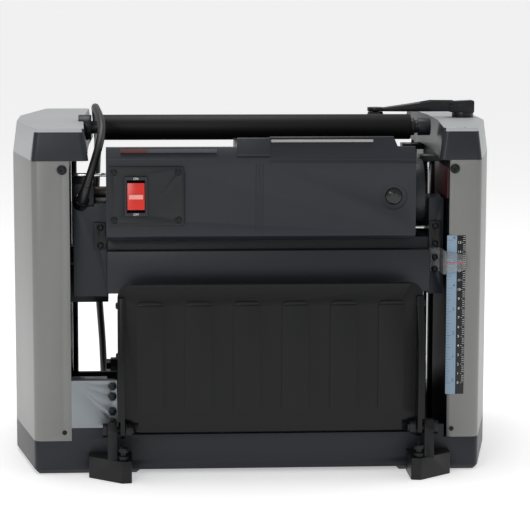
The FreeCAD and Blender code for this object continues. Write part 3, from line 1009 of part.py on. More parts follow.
node("motor_end_bell", cut("bell", bell, bell_grooves,
                           rod("bell_bore", "x", (f"{HOUSING_X[1]} - 1", f"{HOUSING_X[1]} + 8"), MOTOR,
                               "11")))
node("motor_stator",
     cut("stator", rod("stator_ring", "x", (f"{HOUSING_X[0]} + 70", f"{HOUSING_X[0]} + 210"), MOTOR, "42"),
         rod("stator_bore", "x", (f"{HOUSING_X[0]} + 69", f"{HOUSING_X[0]} + 211"), MOTOR, "25")))
motor_bearings = [
    cut(f"motor_bearing_{label}", rod(f"motor_race_{label}", "x", span, MOTOR, outer),
        rod(f"motor_race_bore_{label}", "x", (f"{span[0]} - 1", f"{span[1]} + 1"), MOTOR, "6 + running_gap"))
    for label, span, outer in (("left", (HOUSING_X[0], f"{HOUSING_X[0]} + 8"), "42"),
                               ("right", (f"{HOUSING_X[1]} - 4", f"{HOUSING_X[1]} + 8"), "11"))]
PULLEY_X = (f"({block_x['left'][0]} - 15)", f"({block_x['left'][0]} - 3)")
rotor = fuse("rotor",
             rod("motor_shaft", "x", (f"{PULLEY_X[0]} - 1", f"{HOUSING_X[1]} + 7"), MOTOR, "6"),
             rod("armature", "x", (f"{HOUSING_X[0]} + 75", f"{HOUSING_X[0]} + 205"), MOTOR, "24"),
             rod("commutator", "x", (f"{HOUSING_X[1]} - 40", f"{HOUSING_X[1]} - 14"), MOTOR, "14"))
blades = [block(f"fan_blade_{step}", (f"{HOUSING_X[0]} + 22", f"{HOUSING_X[0]} + 40"), ("-1", "1"),
                ("0", "34")) for step in range(9)]
for step, blade_piece in enumerate(blades):
    blade_piece.setExpression("Placement.Base.y", None)
    blade_piece.setExpression("Placement.Base.z", None)
    tilt = Rotation(Vector(1, 0, 0), 40 * step)
    blade_piece.Placement = Placement(centre + tilt.multVec(Vector(0, -1, 8)), tilt)
    blade_piece.setExpression("Placement.Base.x", rule(f"{HOUSING_X[0]} + 22"))
    bind(blade_piece, Height="30")
fan_hub = fuse("fan_hub", rod("fan_barrel", "x", (f"{HOUSING_X[0]} + 18", f"{HOUSING_X[0]} + 44"), MOTOR,
                              "13"), rod("fan_disc", "x", (f"{HOUSING_X[0]} + 18", f"{HOUSING_X[0]} + 22"),
                                         MOTOR, "38"))
fan = cut("fan", fuse("fan_blank", fan_hub, *blades),
          rod("fan_bore", "x", (f"{HOUSING_X[0]} + 17", f"{HOUSING_X[0]} + 45"), MOTOR, "6"))

cap_dome = turned("brush_cap_dome", "y", (BRUSH_X, "motor_height"),
                  [("0", f"-({HOUSING_FRONT} - 1)"), ("5", f"-({HOUSING_FRONT} - 0.6)"),
                   ("8.6", f"-({HOUSING_FRONT} + 1.6)"), ("8.6", f"-({HOUSING_FRONT} + 14)"),
                   ("0", f"-({HOUSING_FRONT} + 14)")])
cap_dome.Placement = Placement(Vector(), Rotation(Vector(1, 0, 0), 90))
cap_dome.setExpression("Placement.Base.x", rule(BRUSH_X))
cap_dome.setExpression("Placement.Base.z", rule("motor_height"))
rear_cap = rod("brush_cap_rear", "y", (f"{housing_rear} - 9", f"{housing_rear} + 0.5"),
               (BRUSH_X, "motor_height"), "8.6")
node("brush_caps", group("brush_cap_pair", cap_dome, rear_cap))

# Switch on the front of the housing: a plate with four screws, a bezel and a rocking paddle.
switch_plate = profile("switch_base", "xz", PLATE_Y,
                       [(SWITCH_X[0], SWITCH_Z[0]), (SWITCH_X[1], SWITCH_Z[0]), (SWITCH_X[1], SWITCH_Z[1]),
                        (SWITCH_X[0], SWITCH_Z[1])])
soften(switch_plate, "3", ALONG_Y)
bezel_x = (f"({SWITCH_X[0]} + 17)", f"({SWITCH_X[0]} + 41)")
bezel_z = ("(motor_height - 19)", "(motor_height + 22)")
well_x = (f"({SWITCH_X[0]} + 19.5)", f"({SWITCH_X[0]} + 38.5)")
well_z = ("(motor_height - 15.5)", "(motor_height + 18.5)")
node("switch_plate", cut("switch_plate_body", switch_plate, *screw_holes,
                         block("switch_plate_window", (f"{SWITCH_X[0]} + 18.5", f"{SWITCH_X[0]} + 39.5"),
                               (f"{PLATE_Y[0]} - 1", f"{PLATE_Y[1]} + 1"),
                               ("motor_height - 16.5", "motor_height + 19.5"))))
bezel = cut("bezel", block("bezel_body", bezel_x, (f"{PLATE_Y[0]} - 2.2", PLATE_Y[0]), bezel_z),
            block("bezel_well", well_x, (f"{PLATE_Y[0]} - 4", f"{PLATE_Y[0]} + 1"), well_z))
switch_shaft = block("switch_shaft", well_x, (f"{PLATE_Y[0]} - 4", f"{HOUSING_FRONT} + 11"), well_z)
switch_box = cut("switch_box",
                 block("switch_box_body", (f"{SWITCH_X[0]} + 18.5", f"{SWITCH_X[0]} + 39.5"),
                       (PLATE_Y[0], f"{HOUSING_FRONT} + 14"),
                       ("motor_height - 16.5", "motor_height + 19.5")),
                 block("switch_box_well", well_x, (f"{PLATE_Y[1]} - 1", f"{HOUSING_FRONT} + 11"), well_z))
PIVOT = (f"({PLATE_Y[0]} + 5)", "(motor_height + 1.5)")
switch_pivot = rod("switch_pivot", "x", (f"{well_x[0]} - 0.5", f"{well_x[1]} + 0.5"), PIVOT, "1.5")
node("switch_bezel",
     fuse("switch_body", cut("switch_frame", fuse("switch_frame_blank", bezel, switch_box), switch_shaft),
          switch_pivot))
switch_screw = machine_screw("switch_screw", "3.4", "1.8", "1.9", "11")
head_screws += [copy(f"switch_screw_{index}", switch_screw, spot_xz[0], PLATE_Y[0], spot_xz[1], facing_front)
                for index, spot_xz in enumerate(SWITCH_SCREWS)]
node("head_screws", group("head_screw_set", *head_screws))
PADDLE_Z = "(motor_height + 1.5)"
paddle = profile("paddle", "yz", (f"{well_x[0]} + 0.6", f"{well_x[1]} - 0.6"), [
    (f"{PLATE_Y[0]} - 5.5", f"{PADDLE_Z} - 13.5"), (f"{PLATE_Y[0]} - 2.6", f"{PADDLE_Z}"),
    (f"{PLATE_Y[0]} - 1.4", f"{PADDLE_Z} + 14"), (f"{PLATE_Y[0]} + 8", f"{PADDLE_Z} + 9"),
    (f"{PLATE_Y[0]} + 8", f"{PADDLE_Z} - 9")])
paddle_bore = rod("paddle_bore", "x", (well_x[0], well_x[1]), PIVOT, "1.5 + running_gap")
node("switch_paddle", cut("drilled_paddle", paddle, paddle_bore))

# ---------------------------------------------------------------- head: cutterhead, feed and belt

CUTTER_X = (f"({WORK_LEFT} - 1)", f"({WORK_RIGHT} + 1)")
cutter = fuse("cutter_blank", rod("cutter_barrel", "x", CUTTER_X, ("0", CUTTER_AXIS), "cutter_radius - 1"),
              rod("cutter_shaft", "x", (f"{PULLEY_X[0]} - 1", f"{block_x['right'][1]} - 2"),
                  ("0", CUTTER_AXIS), "8"))
pockets = [block(f"knife_pocket_{label}", (f"{CUTTER_X[0]} - 1", f"{CUTTER_X[1]} + 1"), y, z) for label, y,
           z in (("front", ("-cutter_radius - 1", "-cutter_radius + 7"),
                  (f"{CUTTER_AXIS} - 4", f"{CUTTER_AXIS} + 8")),
                 ("rear", ("cutter_radius - 7", "cutter_radius + 1"),
                  (f"{CUTTER_AXIS} - 8", f"{CUTTER_AXIS} + 4")))]
cutter = cut("cutter", cutter, *pockets)
node("knives",
     group("knife_set", block("knife_front", (WORK_LEFT, WORK_RIGHT),
                              ("-cutter_radius + 0.6", "-cutter_radius + 7"),
                              (f"{CUTTER_AXIS} - 4", f"{CUTTER_AXIS} - 2")),
           block("knife_rear", (WORK_LEFT, WORK_RIGHT), ("cutter_radius - 7", "cutter_radius - 0.6"),
                 (f"{CUTTER_AXIS} + 2", f"{CUTTER_AXIS} + 4")),
           block("gib_front", (WORK_LEFT, WORK_RIGHT), ("-cutter_radius + 2.5", "-cutter_radius + 7"),
                 (f"{CUTTER_AXIS} - 2", f"{CUTTER_AXIS} + 7")),
           block("gib_rear", (WORK_LEFT, WORK_RIGHT), ("cutter_radius - 7", "cutter_radius - 2.5"),
                 (f"{CUTTER_AXIS} - 7", f"{CUTTER_AXIS} + 2"))))
bearing_x = {"left": (f"{block_x['left'][1]} - 11", block_x["left"][1]),
             "right": (block_x["right"][0], f"{block_x['right'][0]} + 11")}
cutter_bearings = [cut(f"cutter_bearing_{side}",
                       rod(f"cutter_race_{side}", "x", bearing_x[side], ("0", CUTTER_AXIS), BEARING_OUTER),
                       rod(f"cutter_race_bore_{side}", "x",
                           (f"{bearing_x[side][0]} - 1", f"{bearing_x[side][1]} + 1"), ("0", CUTTER_AXIS),
                           "8 + running_gap")) for side in SIDES]
for label, y in (("infeed", "-feed_spread"), ("outfeed", "feed_spread")):
    node(f"{label}_roller", fuse(f"{label}_roller_body",
                                 rod(f"{label}_roller_barrel", "x", CUTTER_X, (y, FEED_AXIS),
                                     "feed_radius"), rod(f"{label}_roller_axle", "x",
                                                         (f"{block_x['left'][0]} + 1",
                                                          f"{block_x['right'][1]} - 2"), (y, FEED_AXIS),
                                                         "6")))
feed_bushes = [cut(f"feed_bush_{side}_{index}",
                   rod(f"feed_bush_body_{side}_{index}", "x", bearing_x[side], (y, FEED_AXIS), "9"),
                   rod(f"feed_bush_bore_{side}_{index}", "x",
                       (f"{bearing_x[side][0]} - 1", f"{bearing_x[side][1]} + 1"), (y, FEED_AXIS),
                       "6 + running_gap")) for side in SIDES for index,
               y in enumerate(("-feed_spread", "feed_spread"))]
node("head_bearings", group("head_bearing_set", *motor_bearings, *cutter_bearings, *feed_bushes))

MOTOR_PULLEY, CUTTER_PULLEY = 10, 17
motor_pulley = cut("motor_pulley", rod("motor_pulley_rim", "x", PULLEY_X, MOTOR, MOTOR_PULLEY),
                   rod("motor_pulley_bore", "x", (f"{PULLEY_X[0]} - 1", f"{PULLEY_X[1]} + 1"), MOTOR, "6"))
cutter_pulley = cut("cutter_pulley",
                    rod("cutter_pulley_rim", "x", PULLEY_X, ("0", CUTTER_AXIS), CUTTER_PULLEY),
                    rod("cutter_pulley_bore", "x", (f"{PULLEY_X[0]} - 1", f"{PULLEY_X[1]} + 1"),
                        ("0", CUTTER_AXIS), "8"))
node("motor_rotor", group("rotor_set", rotor, fan, motor_pulley))
node("cutterhead", group("cutter_set", cutter, cutter_pulley))
pulley_left = work_left - size["block_gap"] - size["block_width"] - 15
cutter_axis = size["bed_height"] + size["cut_height"] + size["cutter_radius"]
node("drive_belt", loop_band("belt_loop", "x", (pulley_left + 1, pulley_left + 11),
                             (-size["motor_forward"], size["motor_height"], MOTOR_PULLEY),
                             (0, cutter_axis, CUTTER_PULLEY), 0.3, 2.5))
COVER_X = (f"({block_x['left'][0]} - 22)", block_x["left"][0])


def belt_case(name, span, grow):
    """The outline round both pulleys, grown by the thickness of the cover's wall."""
    return profile(name, "yz", span,
                   [(f"-motor_forward - 24 - {grow}", f"motor_height - 22 - {grow}"),
                    (f"-motor_forward - 24 - {grow}", f"motor_height + 10 + {grow} / 2"),
                    (f"-motor_forward - 16 - {grow} / 2", f"motor_height + 16 + {grow}"),
                    (f"-motor_forward + 16 + {grow} / 2", f"motor_height + 16 + {grow}"),
                    (f"20 + {grow}", f"{CUTTER_AXIS} + 14 + {grow}"),
                    (f"22 + {grow}", f"{CUTTER_AXIS} - 12 - {grow} / 2"),
                    (f"12 + {grow} / 2", f"{CUTTER_AXIS} - 21 - {grow}"),
                    (f"-12 - {grow} / 2", f"{CUTTER_AXIS} - 20 - {grow}")])


node("belt_cover", cut("belt_cover_shell", belt_case("belt_cover_skin", COVER_X, "2"),
                       belt_case("belt_cover_space", (f"{COVER_X[0]} + 2", f"{COVER_X[1]} + 1"), "0")))
node("tie_rods",
     group("tie_rod_pair", rod("tie_rod_left", "x", (f"{INNER['left']} + 3", HOUSING_X[0]),
                               (f"{BLOCK_FRONT} + 3", "motor_height + 21"), "2"),
           rod("tie_rod_right", "x", (HOUSING_X[1], BLOCK["right"]),
               (f"{BLOCK_FRONT} + 9", "casting_top + 9"), "2")))

# ---------------------------------------------------------------- head: chip hood and dust port

chip_x = (f"({BLOCK['left']} + 8)", f"({BLOCK['right']} - 8)")
chip_low = f"({housing_rear} + 4)"


def chip_profile(name, span, wall, floor):
    return profile(name, "yz", span, [
        (f"{chip_low} + {wall}", floor), (f"{chip_low} + {wall}", f"motor_height + 21 - {wall}"),
        (f"60", f"motor_height + 21 - {wall}"), (f"{BLOCK_REAR} - {wall}", f"motor_height + 21 - {wall}"),
        (f"{BLOCK_REAR} - {wall}", floor)])


PORT = (f"(work_centre + 85)", "(casting_top + port_radius + 1.5)")
port_y = (BLOCK_REAR, f"{BLOCK_REAR} + port_length")
chip_shell = cut("chip_shell", chip_profile("chip_skin", chip_x, "0", "casting_top"),
                 chip_profile("chip_space", (f"{chip_x[0]} + 3", f"{chip_x[1]} - 3"), "3",
                              "casting_top - 1"),
                 rod("chip_mouth", "y", (f"{BLOCK_REAR} - 5", f"{BLOCK_REAR} + 1"), PORT,
                     "port_radius - 2.5"))
node("chip_hood", fuse("chip_body", chip_shell,
                       cut("port_pipe", rod("port_skin", "y", port_y, PORT, "port_radius"),
                           rod("port_bore", "y", (f"{port_y[0]} - 1", f"{port_y[1]} + 1"), PORT,
                               "port_radius - 2.5"))))

# ---------------------------------------------------------------- cords and their glands


def cord_tube(name, points, diameter):
    """A cord: straight runs joined by arcs as large as each pair of runs allows."""
    places = [Vector(*point) for point in points]
    edges, start = [], places[0]
    for before, corner, after in zip(places, places[1:], places[2:]):
        coming, leaving = corner - before, after - corner
        turn = coming.getAngle(leaving)
        trim = 0.45 * min(coming.Length, leaving.Length)
        entry = corner - coming.normalize() * trim
        leave = corner + leaving.normalize() * trim
        radius = trim / math.tan(turn / 2)
        print(f"{name}: bend radius {radius:.0f} mm")
        bisector = (entry + leave) * 0.5 - corner
        reach = math.hypot(radius, trim) - radius
        middle = corner + bisector.normalize() * reach
        edges += [Part.LineSegment(start, entry).toShape(), Part.Arc(entry, middle, leave).toShape()]
        start = leave
    edges.append(Part.LineSegment(start, places[-1]).toShape())
    path = Part.Wire(edges)
    first = (places[1] - places[0]).normalize()
    section = Part.Wire([Part.Circle(places[0], first, diameter / 2).toShape()])
    tube = path.makePipeShell([section], True, False)
    print(f"{name}: length {path.Length:.1f} mm, volume ratio "
          f"{tube.Volume / (math.pi * diameter ** 2 / 4 * path.Length):.4f}")
    cord = doc.addObject("Part::Feature", name)
    cord.Shape = tube
    return cord


CORD = 8.5
LEAD = [(-184, -136, 287), (-181.5, -144, 294), (-178, -148, 305), (-173, -146, 320), (-167.5, -140, 337),
        (-163, -127, 353), (-162.5, -107, 366), (-166, -84, 374.5)]
MAINS = [(-166, -84, 374.5), (-169.5, -58, 379), (-170.5, -34, 379), (-170.5, -10, 372), (-170.3, 24, 360),
         (-170, 60, 348), (-170, 98, 336), (-170.5, 134, 322), (-172, 162, 298), (-174, 183, 260),
         (-175, 200, 214), (-174, 210, 166), (-171, 215, 120), (-168, 218, 76), (-167, 223, 42),
         (-166, 233, 19), (-162, 249, 4.6), (-152, 272, 4.6)]
COIL_CENTRE, COIL_OUTER, COIL_INNER, COIL_TOP = Vector(-92, 290, 0), 62, 34, 24
aim = Vector(*LEAD[1]) - Vector(*LEAD[0])


def collar(name, start, length, radius):
    """A short cylinder that points the way the cord leaves the head."""
    ring = doc.addObject("Part::Cylinder", name)
    bind(ring, Radius=radius, Height=length)
    away = Vector(aim).normalize() * start
    ring.Placement = Placement(Vector(*LEAD[0]) + away, Rotation(ALONG_Z, aim))
    return ring


node("cord_grommet", cut("grommet", collar("grommet_body", -7, 10, 7.8),
                         collar("grommet_bore", 0, 5, CORD / 2 + 0.05),
                         block("grommet_seat", ("-220", "-150"), (BLOCK_FRONT, f"{BLOCK_FRONT} + 20"),
                               ("250", "330"))))
node("cord_lead", cord_tube("lead", LEAD, CORD))
mains = cord_tube("mains", MAINS, CORD)
mains.Shape = mains.Shape.cut(nodes[-1].Shape)
node("mains_cord", mains)
coil = Part.makeCylinder(COIL_OUTER, COIL_TOP - 0.2, COIL_CENTRE + Vector(0, 0, 0.2)).cut(
    Part.makeCylinder(COIL_INNER, COIL_TOP, COIL_CENTRE)).cut(nodes[-1].Shape)
coil_body = doc.addObject("Part::Feature", "coil")
coil_body.Shape = coil
node("cord_coil", coil_body)


PLUG_START = COIL_CENTRE + Vector(52, -41, 13.2)


def plug_piece(name, start, length, radius, across=0, top_radius=None):
    """A piece of the plug, which leaves the coil towards -Y; shifted across where it is a pin."""
    piece = doc.addObject("Part::Cone" if top_radius else "Part::Cylinder", name)
    if top_radius:
        bind(piece, Radius1=radius, Radius2=top_radius, Height=length)
    else:
        bind(piece, Radius=radius, Height=length)
    piece.Placement = Placement(PLUG_START + Vector(across, -start, 0), Rotation(Vector(1, 0, 0), 90))
    return piece


neck = plug_piece("plug_neck", 0, 16, 5, top_radius=10)
node("mains_plug", group("plug_set", fuse("plug", neck, plug_piece("plug_body", 16, 20, 13)),
                         plug_piece("pin_left", 36, 16, 1.8, -6), plug_piece("pin_right", 36, 16, 1.8, 6)))

# ---------------------------------------------------------------- checks and export

doc.recompute()
failures = []
for item in doc.Objects:
    if "Invalid" in item.State or "Error" in item.State:
        failures.append(f"{item.Name} {item.State}")
if failures:
    raise RuntimeError("did not compute: " + ", ".join(failures))
labels = [item.Label for item in nodes]
if len(set(labels)) != len(labels) or len(labels) > 60:
    raise RuntimeError(f"{len(labels)} sub-parts, {len(set(labels))} names")
for item in nodes:
    shape = item.Shape
    if shape.isNull() or not shape.isValid() or not shape.Solids:
        raise RuntimeError(f"{item.Label} has no sound solid")
    shape.exportStep(f"parts/{item.Label}.step")
    print(f"{item.Label}: {len(shape.Solids)} solids, {shape.Volume / 1000:.1f} cm3")
print(f"{len(nodes)} sub-parts")
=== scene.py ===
import json
import math

import bpy
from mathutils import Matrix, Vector


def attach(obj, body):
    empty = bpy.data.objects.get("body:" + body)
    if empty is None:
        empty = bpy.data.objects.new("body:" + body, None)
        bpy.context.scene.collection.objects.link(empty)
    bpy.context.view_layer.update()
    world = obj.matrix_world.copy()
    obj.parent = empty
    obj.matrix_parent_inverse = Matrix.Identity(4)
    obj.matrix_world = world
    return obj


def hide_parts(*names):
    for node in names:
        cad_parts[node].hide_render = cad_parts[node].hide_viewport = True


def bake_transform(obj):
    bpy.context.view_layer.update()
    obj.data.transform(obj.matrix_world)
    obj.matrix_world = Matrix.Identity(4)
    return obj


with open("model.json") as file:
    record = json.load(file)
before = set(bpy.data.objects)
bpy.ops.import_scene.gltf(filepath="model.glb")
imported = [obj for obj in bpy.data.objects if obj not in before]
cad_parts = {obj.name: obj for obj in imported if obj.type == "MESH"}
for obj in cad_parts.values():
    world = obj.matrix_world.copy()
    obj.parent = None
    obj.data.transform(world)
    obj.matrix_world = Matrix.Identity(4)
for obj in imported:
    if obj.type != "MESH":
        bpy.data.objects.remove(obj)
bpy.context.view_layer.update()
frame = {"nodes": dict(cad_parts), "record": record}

# Camera, floor and light. A long lens stands a little left of the middle and above it. The floor is
# one pale sheet of paper, and large soft panels light the machine as in a product studio.
MM = 0.001
scene = bpy.context.scene
CAMERA_PLACE, CAMERA_AIM, CAMERA_ROLL = (-0.1325, -2.40328, 0.53808), (0.007339, -0.160, 0.221436), 0.124
camera_data = bpy.data.cameras.new("studio_camera")
camera_data.lens, camera_data.sensor_width, camera_data.clip_end = 147.3, 36, 500
camera = bpy.data.objects.new("studio_camera", camera_data)
camera.location = CAMERA_PLACE
camera.rotation_euler = (Vector(CAMERA_AIM) - camera.location).to_track_quat("-Z", "Y").to_euler()
camera.rotation_euler.rotate_axis("Z", math.radians(CAMERA_ROLL))
scene.collection.objects.link(camera)
scene.camera = camera


def plain(colour):
    """An sRGB hex colour as the linear colour that the shader takes."""
    parts = [int(colour[start:start + 2], 16) / 255 for start in (1, 3, 5)]
    return tuple(part / 12.92 if part <= 0.04045 else ((part + 0.055) / 1.055) ** 2.4
                 for part in parts) + (1,)


def put(material, kind, inputs, **settings):
    """Adds a node to a material, with its settings, and its inputs as values or as links from other nodes."""
    fresh = material.node_tree.nodes.new("ShaderNode" + kind)
    for name, value in settings.items():
        setattr(fresh, name, value)
    for socket, value in inputs.items():
        if isinstance(value, bpy.types.NodeSocket):
            material.node_tree.links.new(value, fresh.inputs[socket])
        else:
            fresh.inputs[socket].default_value = value
    return fresh


def bare(name, **sockets):
    """A new material and its shader, with what is the same all over set on the shader."""
    material = bpy.data.materials.new(name)
    material.use_nodes = True
    shader = material.node_tree.nodes["Principled BSDF"]
    for socket, value in sockets.items():
        shader.inputs[socket.replace("_", " ")].default_value = value
    return material, shader


def join(material, source, target):
    material.node_tree.links.new(source, target)


def clear_choice():
    bpy.ops.object.select_all(action="DESELECT")


FLOOR_NEAR, FLOOR_FAR, FLOOR_WIDE = -200, 200, 400
clear_choice()
bpy.ops.mesh.primitive_plane_add(size=1)
floor = bpy.context.active_object
floor.name = "studio_floor"
bpy.ops.object.mode_set(mode="EDIT")
bpy.ops.transform.resize(value=(FLOOR_WIDE, FLOOR_FAR - FLOOR_NEAR, 1))
bpy.ops.transform.translate(value=(0, (FLOOR_FAR + FLOOR_NEAR) / 2, -0.2 * MM))
bpy.ops.object.mode_set(mode="OBJECT")
paper, _ = bare("lit_table_sheet", Base_Color=plain("#F4F4F4"), Roughness=0.8, Emission_Color=(1, 1, 1, 1),
                Emission_Strength=0.42)
floor.data.materials.append(paper)

world = bpy.data.worlds.new("studio_surround")
world.use_nodes = True
scene.world = world
world.node_tree.nodes["Background"].inputs["Color"].default_value = (1, 1, 1, 1)
world.node_tree.nodes["Background"].inputs["Strength"].default_value = 0.5
SOFT_PANELS = [("left_panel", (-1.0, -2.7, 1.3), 0.9, 13), ("right_panel", (1.8, 0.6, 1.2), 0.8, 4),
               ("top_panel", (-0.2, 0.2, 2.0), 1.2, 15)]
for name, place, side, power in SOFT_PANELS:
    light_data = bpy.data.lights.new(name, "AREA")
    light_data.shape, light_data.size, light_data.energy = "SQUARE", side, power
    light = bpy.data.objects.new(name, light_data)
    light.location = place
    light.rotation_euler = (Vector((0, 0, 0.2)) - Vector(place)).to_track_quat("-Z", "Y").to_euler()
    scene.collection.objects.link(light)
scene.view_settings.view_transform = "Standard"

# Base. A cast frame under the columns, shot-blasted and painted dark grey in one thick satin coat,
# so its skin keeps a soft pebble and its edges stay round.
BODY_OF = {node: body for body, nodes in frame["record"]["behaviour"]["bodies"].items() for node in nodes}


def skin(name, colour, patch, roughness, grain, depth, gloss_spread=0.08, **sockets):
    """A coat or moulding: colour that drifts between two tones over a hand's width, and a fine grain in its
    height and gloss. The grain and its depth are in millimetres."""
    material, shader = bare(name, Roughness=roughness, **sockets)
    spot = put(material, "TexCoord", {}).outputs["Object"]
    broad = put(material, "TexNoise", {"Vector": spot, "Scale": 14.0, "Detail": 4.0, "Roughness": 0.6})
    fine = put(material, "TexNoise", {"Vector": spot, "Scale": 1 / (grain * MM), "Detail": 2.0})
    tone = put(material, "Mix", {"Factor": broad.outputs["Fac"], 6: plain(colour), 7: plain(patch)},
               data_type="RGBA")
    join(material, tone.outputs[2], shader.inputs["Base Color"])
    gloss = put(material, "MapRange", {"Value": fine.outputs["Fac"], "To Min": roughness - gloss_spread,
                                       "To Max": roughness + gloss_spread})
    join(material, gloss.outputs["Result"], shader.inputs["Roughness"])
    relief = put(material, "Bump", {"Height": fine.outputs["Fac"], "Distance": depth * MM, "Strength": 1.0})
    join(material, relief.outputs["Normal"], shader.inputs["Normal"])
    return material


def eased(node, edge, material, segments=2, corner=28):
    """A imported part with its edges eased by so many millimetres, in its finish. It stands for the part."""
    clear_choice()
    piece = bpy.data.objects.new(node + "_finished", frame["nodes"][node].data.copy())
    scene.collection.objects.link(piece)
    bpy.context.view_layer.objects.active = piece
    piece.select_set(True)
    bpy.ops.object.mode_set(mode="EDIT")
    bpy.ops.mesh.select_all(action="SELECT")
    bpy.ops.mesh.remove_doubles(threshold=0.004 * MM)
    bpy.ops.mesh.dissolve_limited(angle_limit=math.radians(0.4), delimit=set())
    bpy.ops.object.mode_set(mode="OBJECT")
    if edge:
        bevel = piece.modifiers.new("eased_edges", "BEVEL")
        bevel.width, bevel.segments, bevel.limit_method = edge * MM, segments, "ANGLE"
        bevel.angle_limit = math.radians(corner)
        bevel.use_clamp_overlap = True
        bevel.harden_normals = False
        bpy.ops.object.modifier_apply(modifier=bevel.name)
    bpy.ops.object.shade_smooth_by_angle(angle=math.radians(32))
    piece.data.materials.clear()
    piece.data.materials.append(material)
    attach(piece, BODY_OF[node])
    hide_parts(node)
    return piece


def added(piece, body, material=None):
    """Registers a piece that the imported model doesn't have, on its body."""
    if material:
        piece.data.materials.clear()
        piece.data.materials.append(material)
    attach(piece, body)
    return piece


def recolour(piece, material, chosen):
    """Gives another finish to the faces of a piece for which chosen(face) is true."""
    piece.data.materials.append(material)
    for face in piece.data.polygons:
        if chosen(face):
            face.material_index = len(piece.data.materials) - 1


def box(name, low, high, lean=0):
    """A box from its low to its high corner in millimetres, turned by degrees about X through its middle."""
    clear_choice()
    bpy.ops.mesh.primitive_cube_add(size=1)
    piece = bpy.context.active_object
    piece.name = name
    middle = [(a + b) / 2 * MM for a, b in zip(low, high)]
    bpy.ops.object.mode_set(mode="EDIT")
    bpy.ops.transform.resize(value=[(b - a) * MM for a, b in zip(low, high)])
    if lean:
        bpy.ops.transform.rotate(value=math.radians(-lean), orient_axis="X", center_override=(0, 0, 0))
    bpy.ops.transform.translate(value=middle)
    bpy.ops.object.mode_set(mode="OBJECT")
    return piece


def ease(piece, edge, segments=2):
    """Eases the edges of a modelled piece by so many millimetres."""
    bpy.context.view_layer.objects.active = piece
    bevel = piece.modifiers.new("eased_edges", "BEVEL")
    bevel.width, bevel.segments = edge * MM, segments
    bpy.ops.object.modifier_apply(modifier=bevel.name)
    return piece


def words(name, text, centre_x, low_z, face_y, height):
    """Flat printed letters that face -Y, as high as asked, in millimetres."""
    clear_choice()
    bpy.ops.object.text_add(rotation=(math.pi / 2, 0, 0), location=(centre_x * MM, face_y * MM, low_z * MM))
    piece = bpy.context.active_object
    piece.data.body, piece.data.align_x = text, "CENTER"
    piece.data.size = height * MM * CAPITALS
    bpy.ops.object.convert(target="MESH")
    piece = bpy.context.active_object
    bpy.ops.object.transform_apply(location=True, rotation=True, scale=True)
    piece.name = name
    return piece


def joined(name, pieces):
    """One object from several."""
    clear_choice()
    for piece in pieces:
        piece.select_set(True)
    bpy.context.view_layer.objects.active = pieces[0]
    bpy.ops.object.join()
    pieces[0].name = name
    return pieces[0]


CAPITALS = 1.45   # size of the type over the height of its capitals
base_coat = skin("satin_enamel_on_cast_base", "#1D1F25", "#25272E", 0.42, 1.6, 0.10, IOR=1.38)
eased("base_frame", 1.2, base_coat)

# Bed plate. Ground steel, wiped with wax, with fine lines that run along the work, and its guide rail:
# a bright zinc-plated angle that closes the gap beside the left column.
bed_steel, bed_shader = bare("ground_bed_steel", Metallic=1.0, Roughness=0.28)
spot = put(bed_steel, "TexCoord", {}).outputs["Object"]
drawn = put(bed_steel, "Mapping", {"Vector": spot, "Scale": (900, 12, 900)})
lines = put(bed_steel, "TexNoise", {"Vector": drawn.outputs["Vector"], "Scale": 1.0, "Detail": 3.0})
tone = put(bed_steel, "Mix", {"Factor": lines.outputs["Fac"], 6: plain("#A9ACAE"), 7: plain("#C9CBCC")},
           data_type="RGBA")
join(bed_steel, tone.outputs[2], bed_shader.inputs["Base Color"])
gloss = put(bed_steel, "MapRange", {"Value": lines.outputs["Fac"], "To Min": 0.2, "To Max": 0.38})
join(bed_steel, gloss.outputs["Result"], bed_shader.inputs["Roughness"])
relief = put(bed_steel, "Bump", {"Height": lines.outputs["Fac"], "Distance": 0.02 * MM, "Strength": 0.6})
join(bed_steel, relief.outputs["Normal"], bed_shader.inputs["Normal"])
eased("bed_plate", 0.8, bed_steel)

zinc = skin("zinc_plated_angle", "#7C8185", "#8A8F93", 0.34, 2.2, 0.02, Metallic=0.75)
eased("front_rail", 0.6, zinc)

# Column covers. Folded sheet steel in a warm grey baked enamel, with a faint orange peel that only
# shows in the highlights.
cover_enamel = skin("warm_grey_baked_enamel", "#777876", "#7D7E7C", 0.36, 1.9, 0.045, 0.05)
for side in ("left", "right"):
    eased(f"side_cover_{side}", 0.8, cover_enamel)

# Cover screws and frame bolts. Black oxided steel, pan heads on the covers and hexagons on the base.
black_oxide = skin("black_oxide_steel", "#17181A", "#26272A", 0.36, 0.9, 0.02, Metallic=0.6)
eased("cover_screws", 0.35, black_oxide)
eased("frame_bolts", 0.4, black_oxide)

# Side frames. Pressed steel channels inside the covers, in plain satin black paint, with the maroon
# shield of moulded nylon that closes the drive side.
black_paint = skin("satin_black_paint", "#0C0D0F", "#141518", 0.38, 1.4, 0.04, IOR=1.36)
eased("side_frames", 0.5, black_paint)
maroon = skin("maroon_nylon", "#3A1214", "#471A1B", 0.4, 1.2, 0.03)
eased("drive_shield", 0.5, maroon)

# Caps. A light grey moulded top over a black fascia, both ABS from a spark-textured mould, so they
# have a fine even grain and a soft sheen.
cap_grey = skin("light_grey_textured_abs", "#A6A9AB", "#AEB1B3", 0.45, 1.1, 0.07)
fascia_black = skin("black_textured_abs", "#1D2025", "#272A30", 0.36, 1.1, 0.05, IOR=1.4)
for side in ("left", "right"):
    cap = eased(f"cap_{side}", 2.4, cap_grey, segments=3)
    inward = 1 if side == "left" else -1
    recolour(cap, fascia_black, lambda face: face.normal.x * inward > 0.6)
    eased(f"cap_fascia_{side}", 2.0, fascia_black, segments=3)

